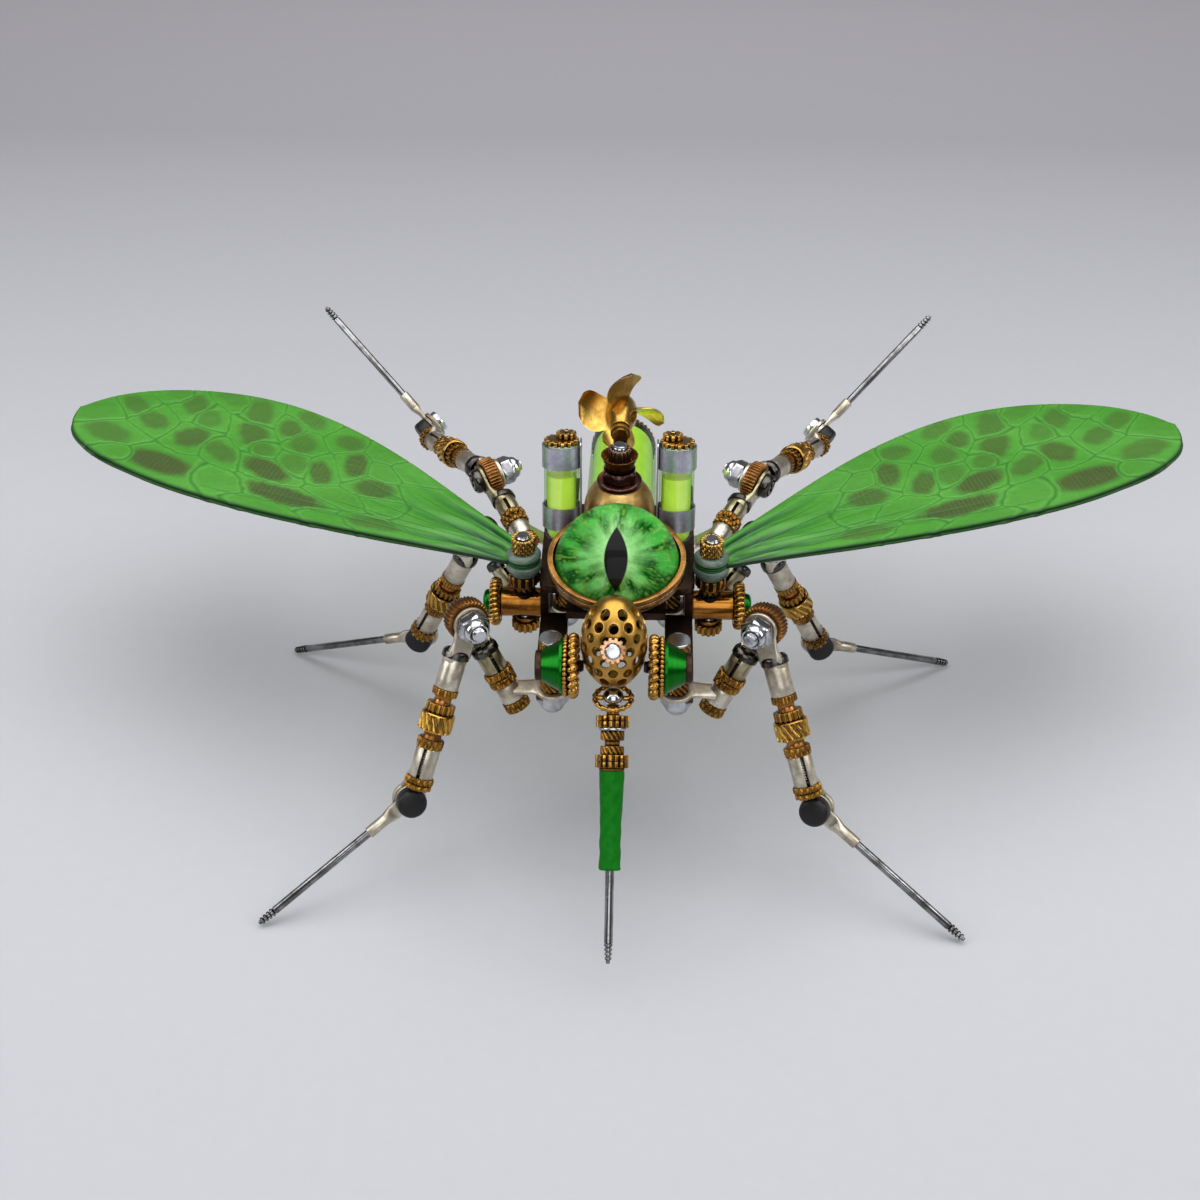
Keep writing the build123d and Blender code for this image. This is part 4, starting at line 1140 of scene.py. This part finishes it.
def eye():
    """Domed glass eye whose iris picture fills the whole dome, in its bronze cup."""
    glass = local(EYE, GLASS_POINTS)
    cup = local(EYE, CUP_POINTS)
    radius = np.linalg.norm(glass[:, :2], axis=1).max()
    top = glass[:, 2].max()
    girdle = EYE_GIRDLE
    rise = top - girdle
    ball = (radius ** 2 + rise ** 2) / (2 * rise)
    b = Build()
    rings, around = EYE_RINGS, EYE_AROUND
    out, turns = np.linspace(0.0, 1.0, rings), np.linspace(0, TAU, around, endpoint=False)
    rr, tt = np.meshgrid(out, turns, indexing="ij")
    x, y = rr * np.cos(tt), rr * np.sin(tt)
    height = girdle + rise - ball + np.sqrt(ball ** 2 - (radius * rr) ** 2)
    surface = np.stack([x * radius, y * radius, height], -1)
    b.grid(put(EYE, surface), 0, wrap_v=True, colours=iris_colour(surface))
    dark = np.tile(np.array(srgb(4, 40, 8)), (5, around, 1))
    skirt = [(radius, girdle), (radius, -1.6), (radius - 0.1, -2.8), (radius * 0.5, -2.85), (0.0, -2.85)]
    b.grid(revolve(EYE, skirt, around), 0, wrap_v=True, colours=dark)
    b.piece("eye_cabochon_glass", "trunk", [IRIS], ["eye_cabochon"], sharp=60, weld=True)

    b = Build()
    low = cup[:, 2].min()
    outer = np.linalg.norm(cup[:, :2], axis=1).max()
    profile = [(0.0, low), (outer - 1.9, low), (outer - 1.5, low + 0.15), (outer - 0.3, low + 1.4),
               (outer - 0.1, low + 1.8),
               (outer - 0.1, -1.15), (outer - 0.32, -1.0), (outer - 0.1, -0.85), (outer, -0.7),
               (outer, -0.25),
               (outer - 0.15, 0.0), (outer - 0.45, 0.06), (radius + 0.35, 0.0), (radius + 0.1, -0.3),
               (radius + 0.1, -2.9),
               (0.0, -2.9)]
    solid(b, EYE, profile, 144)
    b.piece("eye_bezel_cup", "trunk", [BRONZE], ["eye_bezel"], weld=True)


def iris_colour(points):
    """Green iris painted so that it reads as a round eye from the front: pale by the slit."""
    x = points[..., 0] / 12.0
    y = (0.702 * points[..., 1] + 0.712 * points[..., 2] - 0.65) / 9.57
    shift = y + 0.15
    lens = np.abs(x) / 0.19 + (shift / 0.645) ** 2
    pupil = clamp((1.0 - lens) * 14)
    turn, far = np.arctan2(shift, x), np.hypot(x, shift)
    coarse = fibres(turn, far, 34, 5)
    fine = fibres(turn, far, 150, 16)
    rim = np.hypot(x, y)
    pale = np.array(srgb(140, 198, 122))
    mid = np.array(srgb(58, 158, 54))
    deep = np.array(srgb(0, 72, 8))
    fleck = np.array(srgb(150, 204, 84))
    near = np.exp(-np.clip(lens - 1.0, 0, None) * 0.62)
    colour = blend(mid, pale, clamp(near * 1.15 - 0.1 + 0.25 * (fine - 0.5)))
    dark = clamp((rim - 0.22) / 0.4) * clamp(2.4 * (0.65 * coarse + 0.35 * fine) - 0.75)
    colour = blend(colour, deep, clamp(dark * 1.15))
    bright = clamp((fine - 0.66) * 4) * clamp((rim - 0.35) / 0.3)
    colour = blend(colour, fleck, bright * 0.35)
    colour = blend(colour, deep * 0.5, clamp((rim - 0.94) / 0.08) * 0.6)
    return colour * (1 - pupil)[..., None] + np.array([0.003, 0.003, 0.003]) * pupil[..., None]


def fibres(turn, far, around, out):
    """Smooth random streaks between 0 and 1 on a grid of directions and distances."""
    table = rng.random((around, out + 2))
    table = clamp((table - 0.5) * 1.3 + 0.5)
    a = (turn / TAU % 1.0) * around
    c = clamp(far / 1.3) * out
    i, j = np.floor(a).astype(int), np.floor(c).astype(int)
    fa, fc = a - i, c - j
    fa, fc = fa * fa * (3 - 2 * fa), fc * fc * (3 - 2 * fc)
    low = table[i % around, j] * (1 - fa) + table[(i + 1) % around, j] * fa
    high = table[i % around, j + 1] * (1 - fa) + table[(i + 1) % around, j + 1] * fa
    return low * (1 - fc) + high * fc


eye()


# ---------------------------------------------------------------- bell, nuts and propeller
def dome_nuts():
    b = Build()
    axis = islands("bell_dome")[0].centre * [1, 1, 0]
    line = place(axis, UP)
    for part in islands("dome_nuts"):
        low, high = part.heights()
        ro = np.ptp(part.points[:, 0]) / 2
        if high - low > 10:
            thread(b, line, ro, low, high, 2)
        elif ro > 4:
            collar(b, line, 1.5, ro, low, low + 0.95, material=1, edge=0.25)
            hex_nut(b, line, FLANGE_FLATS, low + 0.9, high, 1, bore=1.5)
        elif ro > 3:
            profile = [(1.5, low), (2.45, low), (2.75, low + 0.3), (3.2, low + 1.7), (3.6, high - 0.2),
                       (3.7, high),
                       (3.45, high), (3.0, low + 2.0), (2.6, low + 1.5), (1.5, low + 1.35)]
            turned(b, line, profile, 56)
        else:
            collar(b, line, 1.45, ro, low, high, straight(16), 0.3, 3, around=160, rows=6, edge=0.2,
                   dish=0.15)
    b.piece("dome_nuts_turned", "trunk", [BRONZE, FLANGE, CHROME, ROSY_DARK], ["dome_nuts"])


BLADES = 4
FIRST_BLADE = -5  # degrees


def propeller():
    """Four swept screw blades on a spinner hub."""
    b = Build()
    hub = islands("propeller")[0].points
    origin = pivot("propeller_spin")
    axis = joint_axis("propeller_spin")
    line = place([origin[0], 0, origin[2]], axis, UP)
    flat = local(line, hub)
    z0, z1 = low_high(flat)
    reach = np.linalg.norm(flat[:, :2], axis=1).max()
    mid = z0 + 6.6
    profile = [(1.05, z0 + 0.1), (1.9, z0), (2.1, z0 + 0.3), (2.45, z0 + 2.0), (3.0, z0 + 3.6),
               (3.2, z0 + 5.0), (3.2, z1 - 2.2), (2.95, z1 - 0.9),
               (2.4, z1), (1.05, z1 - 0.1)]
    turned(b, line, profile, 56)
    for k in range(BLADES):
        turn = radians(360 / BLADES * k + FIRST_BLADE)
        rows = []
        for s in np.linspace(0, 1, 16):
            r = 2.4 + (reach - 2.45) * s
            width = (3.3 + 1.8 * s) * np.sqrt(max(1 - max(0, (s - 0.35) / 0.65) ** 2.6, 0.0)) + 0.02
            pitch = radians(58 - 26 * s)
            sweep = 0.35 * s * s
            chord = np.linspace(-1, 1, 15)
            thick = 0.42 * (1 - chord ** 2) * (1 - 0.6 * s) + 0.09
            camber = 0.45 * (1 - chord ** 2)
            tangent = chord * width * cos(pitch)
            lift = chord * width * sin(pitch)
            loop = []
            for sign in (1, -1):
                order = slice(None) if sign > 0 else slice(None, None, -1)
                dt = (tangent - (camber + sign * thick) * sin(pitch))[order]
                dz = (lift + (camber + sign * thick) * cos(pitch))[order]
                angle = turn + sweep + dt / r
                loop.append(np.stack([r * np.cos(angle), r * np.sin(angle), mid + dz], -1))
            rows.append(np.concatenate(loop))
        rows = [np.repeat(rows[0].mean(0)[None], 30, 0)] + rows + [np.repeat(rows[-1].mean(0)[None], 30, 0)]
        b.grid(put(line, np.array(rows)), 0, wrap_v=True, flip=False)
    b.piece("propeller_cast", "propeller", [PROP_GOLD], ["propeller"], weld=True, sharp=50)


dome_nuts()
propeller()


# ---------------------------------------------------------------- vial clips and gears
def vial_line(side):
    tube = on_side("glass_vials", side)[0].points
    _, axis, _ = long_axis(tube)
    if axis[2] < 0:
        axis = -axis
    middle = (tube.max(0) + tube.min(0)) / 2
    z = tube @ axis
    foot = middle + axis * (z.min() - middle @ axis)
    radius = np.ptp(tube[:, 0]) / 2
    return place(foot, axis, RIGHT), radius


BAND_FEET = (4.0, 16.4)
BAND_HEIGHT = 4.4


def vial_clips():
    b = Build()
    for side in (-1, 1):
        where, radius = vial_line(side)
        part = on_side("vial_clips", side)
        points = local(where, np.concatenate([i.points for i in part]))
        low, high = low_high(points)
        strip_x = -side * (radius + 0.32)
        sections = []
        for z, w in ((low, 1.6), (low + 0.4, 2.0), (high - 0.4, 2.0), (high, 1.6)):
            centre = put(where, np.array([strip_x, 0, z]))
            sections.append((centre, where[:, 1], where[:, 0], w, 0.18, 5))
        loft(b, sections, 0, 20)
        for z0 in BAND_FEET:
            band(b, where, radius + 0.1, radius + 0.42, z0, z0 + BAND_HEIGHT)
    b.piece("vial_clips_bent", "trunk", [CLIP], ["vial_clips"], weld=False)


def band(b, where, inner, outer, z0, z1):
    """Open spring band whose two lips flare outward."""
    t = np.linspace(0, 1, 40)
    start, sweep = radians(128), radians(284)
    angle = start + sweep * t
    flare = clamp((np.abs(t - 0.5) - 0.42) / 0.08) ** 1.5 * 0.9
    rows = []
    mid = (z0 + z1) / 2
    half = (z1 - z0) / 2
    for r, dz in ((inner, -1), (outer, -1), (outer, 1), (inner, 1)):
        lip = clamp((np.abs(t - 0.5) - 0.44) / 0.06)
        height = half * (1 - 0.22 * lip)
        radius = r + flare
        rows.append(np.stack([radius * np.cos(angle), radius * np.sin(angle), mid + dz * height], -1))
    rows = np.array(rows).transpose(1, 0, 2)
    cap0, cap1 = rows[:1].mean(1, keepdims=True).repeat(4, 1), rows[-1:].mean(1, keepdims=True).repeat(4, 1)
    b.grid(put(where, np.concatenate([cap0, rows, cap1])), 0, wrap_v=True)


def vial_gears():
    b = Build()
    for side in (-1, 1):
        where, _ = vial_line(side)
        for part in on_side("vial_gears", side):
            points = local(where, part.points)
            z0, z1 = low_high(points)
            centre = (points.max(0) + points.min(0)) / 2
            ro = np.linalg.norm(points[:, :2] - centre[:2], axis=1).max()
            line = place(put(where, np.array([centre[0], centre[1], 0.0])), where[:, 2], RIGHT)
            teeth = 15 if ro > 2.5 else 10
            collar(b, line, 0.6, ro, z0, z1, straight(teeth), 0.6, 0, around=teeth * 10, rows=3, edge=0.12)
    b.piece("vial_gears_cut", "trunk", [POLISHED], ["vial_gears"])


vial_clips()
vial_gears()


# ---------------------------------------------------------------- head screw and proboscis
def head_screw():
    b = Build()
    nut, screw = sorted(islands("head_screw"), key=lambda i: np.ptp(i.points[:, 2]))
    _, axis, _ = long_axis(screw.points)
    if axis[1] > 0:
        axis = -axis
    middle = (screw.points.max(0) + screw.points.min(0)) / 2
    line = place(middle, axis)
    z = (screw.points - middle) @ axis
    thread(b, line, M3_R, z.min(), z.max(), 1)
    z = (nut.points - middle) @ axis
    collar(b, line, 1.42, 2.4, z.min(), z.max(), straight(13), 0.36, 0, around=130, rows=5, edge=0.16)
    b.piece("head_screw_turned", "trunk", [ROSY, CHROME], ["head_screw"])


def nose_line():
    rod = islands("proboscis_needle")[0].points
    _, axis, _ = long_axis(rod)
    if axis[2] > 0:
        axis = -axis
    origin = pivot("proboscis_tilt")
    return place(origin, axis, RIGHT)


NOSE = nose_line()


def proboscis_collars():
    b = Build()
    for part in islands("proboscis_collars"):
        points = local(NOSE, part.points)
        z0, z1 = low_high(points)
        ro = np.linalg.norm(points[:, :2], axis=1).max()
        if z0 < 0:
            b.island(part, 1)
        elif ro > 2.8:
            collar(b, NOSE, 0.85, ro, z0, z1, straight(17), 0.55, 0, around=170, rows=3, edge=0.1)
        elif ro > 2.4:
            collar(b, NOSE, 0.85, ro, z0, z1, material=1, edge=0.15)
        elif 2.1 < ro < 2.3:
            collar(b, NOSE, 0.85, ro, z0, z1, helical(14, 0.3), 0.3, 0, around=140, rows=8, edge=0.12)
        else:
            collar(b, NOSE, 0.85, ro, z0, z1, edge=0.1)
    b.piece("proboscis_collars_cut", "proboscis", [KNURLED, CHROME], ["proboscis_collars"])


def proboscis_sleeve():
    b = Build()
    points = local(NOSE, islands("proboscis_sleeve")[0].points)
    z0, z1 = low_high(points)
    zs = np.linspace(z0 + 0.2, z1 - 0.2, 60)
    outer = 2.35 - 0.4 * clamp((zs - z0) / 9.6) + 0.1 * clamp((zs - z1 + 1.8) / 1.8)
    profile = [(0.87, z0), (2.2, z0)] + list(zip(outer, zs)) + [(1.9, z1), (0.87, z1)]

    def cut(t, z, r):
        crease = 0.07 * np.sin(2 * t + z * 0.9) * np.sin(z * 0.55 + t) + 0.04 * np.sin(5 * t - z * 1.7)
        return r + np.where(r > 1.2, crease, 0)

    turned(b, NOSE, profile, 72, cut=cut)
    b.piece("proboscis_sleeve_shrunk", "proboscis", [SLEEVE], ["proboscis_sleeve"])


head_screw()
proboscis_collars()
proboscis_sleeve()


# ---------------------------------------------------------------- wings
# Cells of the vein net: distance out from the post, place across the chord (0 front, 1 rear),
# length, width, lean in degrees and strength of the olive blotch.
CELLS = (
    (86, 0.15, 17, 6.5, 4, 1.0), (104, 0.25, 13, 6.0, 10, 0.6), (86, 0.45, 8, 7.5, 35, 0.8),
    (79, 0.84, 12, 6.0, 55, 0.6), (94, 0.80, 11, 5.5, 38, 0.6), (64, 0.37, 13, 5.5, 16, 0.95),
    (55, 0.19, 19, 5.2, 2, 1.0), (33, 0.15, 12, 3.6, -4, 0.6), (39.5, 0.55, 9, 6.0, 6, 0.8),
    (48, 0.70, 9, 5.0, 58, 0.85), (53, 0.50, 9, 4.6, 45, 0.8), (69, 0.78, 7.5, 4.6, 45, 0.7),
    (63, 0.69, 8, 5.5, 42, 0.55), (54, 0.87, 7.5, 5.2, 15, 0.6), (75, 0.64, 12, 6.0, 45, 0.75),
    (98, 0.53, 9, 5.0, 25, 0.65), (106, 0.72, 9, 4.6, 30, 0.55), (60, 0.5, 8, 5.4, 40, 0.45),
    (77, 0.4, 11, 4.6, 25, 0.6), (67, 0.93, 9, 4.4, 25, 0.55), (24, 0.35, 11, 5, 4, 0.0),
    (29, 0.74, 10, 4.5, 14, 0.0), (36, 0.88, 10, 4.5, 18, 0.0), (34, 0.38, 11, 4, 6, 0.0),
    (44, 0.33, 12, 4, 6, 0.1), (45, 0.93, 9, 5, 22, 0.1), (71, 0.16, 12, 5, 6, 0.1),
    (112, 0.5, 8, 8, 20, 0.15), (88, 0.93, 10, 4.5, 20, 0.3), (44, 0.1, 10, 3, 2, 0.0),
    (70, 0.54, 8, 4.5, 35, 0.5), (88, 0.68, 9, 5, 40, 0.45), (100, 0.93, 9, 4.5, 15, 0.2),
    (97, 0.12, 8, 4, 10, 0.1), (58, 0.07, 12, 2.5, 0, 0.1), (41, 0.75, 8, 5, 30, 0.1),
)
WING_ROWS = (360, 140)
DARK_EDGE = (10, 50, 22)
TIP_EDGE = (40, 90, 30)
VEIN_RAYS = ((0.12, 78), (0.22, 66), (0.33, 50), (0.45, 44), (0.58, 52), (0.7, 34), (0.84, 28))


def wing(side):
    name = ("right" if side > 0 else "left") + "_wing"
    post = pivot(name + "_swing")
    points = np.concatenate([i.points for i in islands(name)])
    rel = points[:, :2] - post[:2]
    far = rel[np.argmax(np.linalg.norm(rel, axis=1))]
    heading = atan2(far[1], far[0] * side) - radians(3.2)
    u_dir = np.array([side * cos(heading), sin(heading)])
    v_dir = np.array([-side * sin(heading), cos(heading)])
    sheets = sorted(islands(name), key=lambda i: i.centre[2])
    b = Build()
    for layer, sheet in enumerate(sheets):
        low, high = sheet.heights()
        tree = BVHTree.FromPolygons([Vector(p) for p in sheet.points], [tuple(f) for f in sheet.faces])
        mid = (low + high) / 2
        reach = ((sheet.points[:, :2] - post[:2]) @ u_dir).max()
        count, across = WING_ROWS
        us = 2.2 + (reach - 2.25) * (1 - (1 - np.linspace(0, 1, count)) ** 1.25)
        front, rear = [], []
        for u in us:
            base = post[:2] + u_dir * u
            hits = []
            for start, sign in ((-60, 1), (80, -1)):
                p = base + v_dir * start
                hit = tree.ray_cast(Vector((p[0], p[1], mid)), Vector((*(v_dir * sign), 0)))
                hits.append((np.array(hit[0])[:2] - post[:2]) @ v_dir if hit[0] is not None else np.nan)
            front.append(hits[0])
            rear.append(hits[1])
        front, rear = np.array(front), np.array(rear)
        good = ~np.isnan(front)
        front = np.interp(us, us[good], front[good])
        rear = np.interp(us, us[good], rear[good])
        s = np.linspace(0, 1, across)
        uu = np.repeat(us[:, None], across, 1)
        ss = np.repeat(s[None, :], count, 0)
        vv = front[:, None] + (rear - front)[:, None] * ss
        if layer == 0:
            vv = vv - 0.5 * (1 - ss) ** 6 * clamp((uu - 8) / 20)
        colour, relief = veins(uu, vv, ss, front, rear, us, layer)
        fold = pleats(uu, ss)
        wave = 0.25 * np.sin(uu * 0.35 + 2) * clamp((uu - 80) / 30) * (1 - ss) ** 2
        lift = fold * 0.75 + relief * 0.1 + (wave if layer == 0 else 0)
        droop = -0.9 * (ss - 0.45) ** 2 * clamp(uu / 60)
        top = high + lift + droop
        bottom = low + lift + droop
        xy = post[:2] + uu[..., None] * u_dir + vv[..., None] * v_dir
        upper = np.concatenate([xy, top[..., None]], -1)
        lower = np.concatenate([xy, bottom[..., None]], -1)
        flip = side < 0
        b.grid(upper, 0, colours=colour, flip=flip)
        # The underside takes 0.6 of the top colour: painted shade on the side turned away from the lamps.
        b.grid(lower, 0, colours=colour * 0.6, flip=not flip)
        strips = ((upper[:, 0], lower[:, 0], DARK_EDGE), (lower[:, -1], upper[:, -1], DARK_EDGE),
                  (lower[0], upper[0], DARK_EDGE), (upper[-1], lower[-1], TIP_EDGE))
        for first, second, shade in strips:
            b.grid(np.stack([first, second]), 0,
                   colours=np.tile(np.array(srgb(*shade)), (2, len(first), 1)), flip=flip)
        ring = bush(1.7, LUG_EYE_R, low + 0.03, high - 0.03, edge=0.05)
        green = np.tile(np.array(srgb(26, 84, 34)), (len(ring) * 56, 1))
        turned(b, place([post[0], post[1], 0], UP), ring, 56, colours=green)
    b.piece(name + "_sheets", name, [WING], [name], sharp=60)


def pleats(uu, ss):
    """Gathered folds that fan out of the grommet and die away along the wing."""
    fade = clamp((uu - 3.2) / 2.5) * np.exp(-np.clip(uu - 11, 0, None) / 8.0)
    ends = clamp(ss * 8) * clamp((1 - ss) * 8)
    return fade * ends * np.sin(ss * 6.4 * pi + 0.5 + 0.6 * np.sin(uu * 0.35))


def veins(uu, vv, ss, front, rear, us, layer):
    """Colour and relief of a wing sheet: net of veins with a painted highlight along them, blotches, root
    pleats with painted shade in their creases, edge lines, and painted shade on the lower sheet.
    """
    cells = np.array(CELLS, float)
    f = np.interp(cells[:, 0], us, front)
    r = np.interp(cells[:, 0], us, rear)
    lean = np.radians(cells[:, 4])
    du = uu[..., None] - cells[:, 0]
    dv = vv[..., None] - (f + (r - f) * cells[:, 1])
    along = (du * np.cos(lean) + dv * np.sin(lean)) / cells[:, 2] * 2
    over = (dv * np.cos(lean) - du * np.sin(lean)) / cells[:, 3] * 2
    wobble = 0.05 * np.sin(uu * 0.9 + vv * 1.3) + 0.04 * np.sin(uu * 2.1 - vv * 1.7)
    d = (np.abs(along) ** 2.4 + np.abs(over) ** 2.4) ** (1 / 2.4)
    d = d + wobble[..., None] * np.sin(np.arange(len(cells)) * 2.4)
    nearest = np.argmin(d, axis=-1)
    order = np.sort(d, axis=-1)
    gap = order[..., 1] - order[..., 0]
    outer = clamp((uu - 22) / 8)
    vein = np.exp(-(gap / 0.085) ** 2) * outer
    halo = np.exp(-((gap - 0.24) / 0.12) ** 2) * outer
    grain = 0.78 + 0.22 * np.sin(uu * 9.1 + np.sin(vv * 7.3) * 2) * np.sin(vv * 8.7 + uu * 3.1)
    blotch = clamp((1.22 - order[..., 0]) / 0.45) * cells[nearest, 5] * grain
    blotch = blotch * clamp((gap - 0.1) / 0.25)
    chord = np.maximum((rear - front)[:, None], 1)
    rays = np.zeros_like(uu)
    for k, (a, fade) in enumerate(VEIN_RAYS):
        path = a + 0.04 * np.sin(uu * 0.06 + k)
        rays = np.maximum(rays, np.exp(-((ss - path) * chord / 0.2) ** 2) * clamp((fade - uu) / 10))
    net = np.maximum(vein, rays * 0.8)
    base = np.array(srgb(64, 138, 36))
    light = np.array(srgb(90, 160, 62))
    dark = np.array(srgb(26, 98, 18))
    olive = np.array(srgb(62, 62, 30))
    root = np.array(srgb(8, 72, 36))
    shade = 0.5 + 0.5 * np.sin(uu * 0.13 + vv * 0.21)
    # The halo term lightens a band along each vein: a painted highlight on the vein grooves.
    colour = blend(base, light, clamp(0.35 * shade + 0.3 * halo))
    colour = blend(colour, olive, clamp(blotch * 1.05))
    colour = blend(colour, dark, net * 0.7)
    fold = pleats(uu, ss)
    near = np.exp(-np.clip(uu - 8, 0, None) / 14)
    # Painted shade: the root colour darkens the troughs of the pleat folds, where the creases lie in shade.
    colour = blend(colour, root, clamp(-fold * 1.4))
    # The fine stripes near the root darken with the root colour: painted shade of the small gathered creases.
    lines = clamp(np.sin(ss * 40 + 1.5 * np.sin(uu * 0.3)) * 1.4 - 0.5) * near
    colour = blend(colour, root, lines * 0.7)
    rim = np.exp(-(ss * chord / 0.6) ** 2)
    colour = blend(colour, np.array(srgb(8, 40, 16)), rim * (0.9 if layer else 0.6))
    back = np.exp(-((1 - ss) * chord / 0.22) ** 2)
    colour = blend(colour, np.array(srgb(60, 84, 20)), back * 0.6)
    # The lower sheet lies under the upper one: halving its colour is painted shade.
    if layer == 0:
        colour = colour * 0.5
    return colour, halo * 0.5 - net


for wing_side in (-1, 1):
    wing(wing_side)


# ---------------------------------------------------------------- stage
# Metres: half width of the floor, and where its painted light falloff starts and ends.
FLOOR_HALF = 4.0
FLOOR_NEAR, FLOOR_FAR = -0.25, 0.62

CAMERA_AT = (5.2, -288.7, 247.6)
CAMERA_TOWARD = (-3.4, -16.0, 45.0)
CAMERA_LENS = 51.3


def stage():
    b = bpy.data.meshes.new("floor")
    size = FLOOR_HALF
    b.from_pydata([(-size, -size, 0), (size, -size, 0), (size, size, 0), (-size, size, 0)], [],
                  [(0, 1, 2, 3)])
    floor = bpy.data.objects.new("floor", b)
    floor.location = (0, 0, CAD_BOX[0].z)
    bpy.context.scene.collection.objects.link(floor)
    p = Paint("floor_paper")
    y = p.add("SeparateXYZ", Vector=p.where).outputs["Y"]
    near, far = FLOOR_NEAR, FLOOR_FAR
    t = p.math("DIVIDE", p.math("SUBTRACT", y, near), far - near)
    # Painted light falloff: the floor colour follows how the lamps' light falls off along Y, darker towards
    # the back.
    painted_light_falloff = p.ramp(t, (0.0, srgb(176, 177, 182)), (0.34, srgb(184, 185, 189)), (0.61, srgb(166, 166, 171)),
                  (0.68, srgb(160, 159, 165)), (0.84, srgb(171, 169, 174)), (1.0, srgb(171, 169, 174)))
    grain = p.noise(300, 3, 0.6)
    p.set(Base_Color=p.mix(0.04, painted_light_falloff, p.ramp(grain, (0.3, 0.7), (0.7, 1.2)), "MULTIPLY"), Roughness=0.85,
          Specular_IOR_Level=0.15)
    floor.data.materials.append(p.mat)


def area(name, where, at, size, power, colour=(1, 1, 1)):
    data = bpy.data.lights.new(name, "AREA")
    data.energy = power
    data.size = size
    data.color = colour
    lamp = bpy.data.objects.new(name, data)
    lamp.location = Vector(where) * MM
    lamp.rotation_mode = "QUATERNION"
    lamp.rotation_quaternion = (Vector(at) - Vector(where)).to_track_quat("-Z", "Y")
    bpy.context.scene.collection.objects.link(lamp)


def sky():
    world = bpy.data.worlds.new("studio")
    bpy.context.scene.world = world
    world.use_nodes = True
    tree = world.node_tree
    coords = tree.nodes.new("ShaderNodeTexCoord")
    split = tree.nodes.new("ShaderNodeSeparateXYZ")
    ramp = tree.nodes.new("ShaderNodeValToRGB")
    tree.links.new(coords.outputs["Generated"], split.inputs[0])
    tree.links.new(split.outputs["Z"], ramp.inputs[0])
    tree.links.new(ramp.outputs[0], tree.nodes["Background"].inputs["Color"])
    stops = ((0.0, 0.25), (0.5, 0.12), (0.62, 0.3), (0.8, 0.8), (1.0, 1.0))
    while len(ramp.color_ramp.elements) < len(stops):
        ramp.color_ramp.elements.new(0.5)
    for element, (position, grey) in zip(ramp.color_ramp.elements, stops):
        element.position = position
        element.color = (grey, grey, grey * 1.02, 1)
    tree.nodes["Background"].inputs["Strength"].default_value = 0.75


stage()
sky()
area("top_soft", (0, 60, 620), (0, 0, 30), 0.75, 3.4)
area("left_strip", (-520, -160, 330), (0, 0, 40), 0.35, 1.2)
area("right_strip", (520, -120, 360), (0, 0, 40), 0.35, 1.2)
area("front_soft", (40, -620, 420), (0, 0, 40), 0.5, 1.4)

cam = bpy.data.objects.new("camera", bpy.data.cameras.new("camera"))
cam.location = Vector(CAMERA_AT) * MM
cam.rotation_mode = "QUATERNION"
cam.rotation_quaternion = (Vector(CAMERA_TOWARD) * MM - cam.location).to_track_quat("-Z", "Y")
cam.data.lens = CAMERA_LENS
cam.data.sensor_width = 36.0
cam.data.clip_start = 0.01
bpy.context.scene.collection.objects.link(cam)
bpy.context.scene.camera = cam
bpy.context.scene.view_settings.view_transform = "Standard"
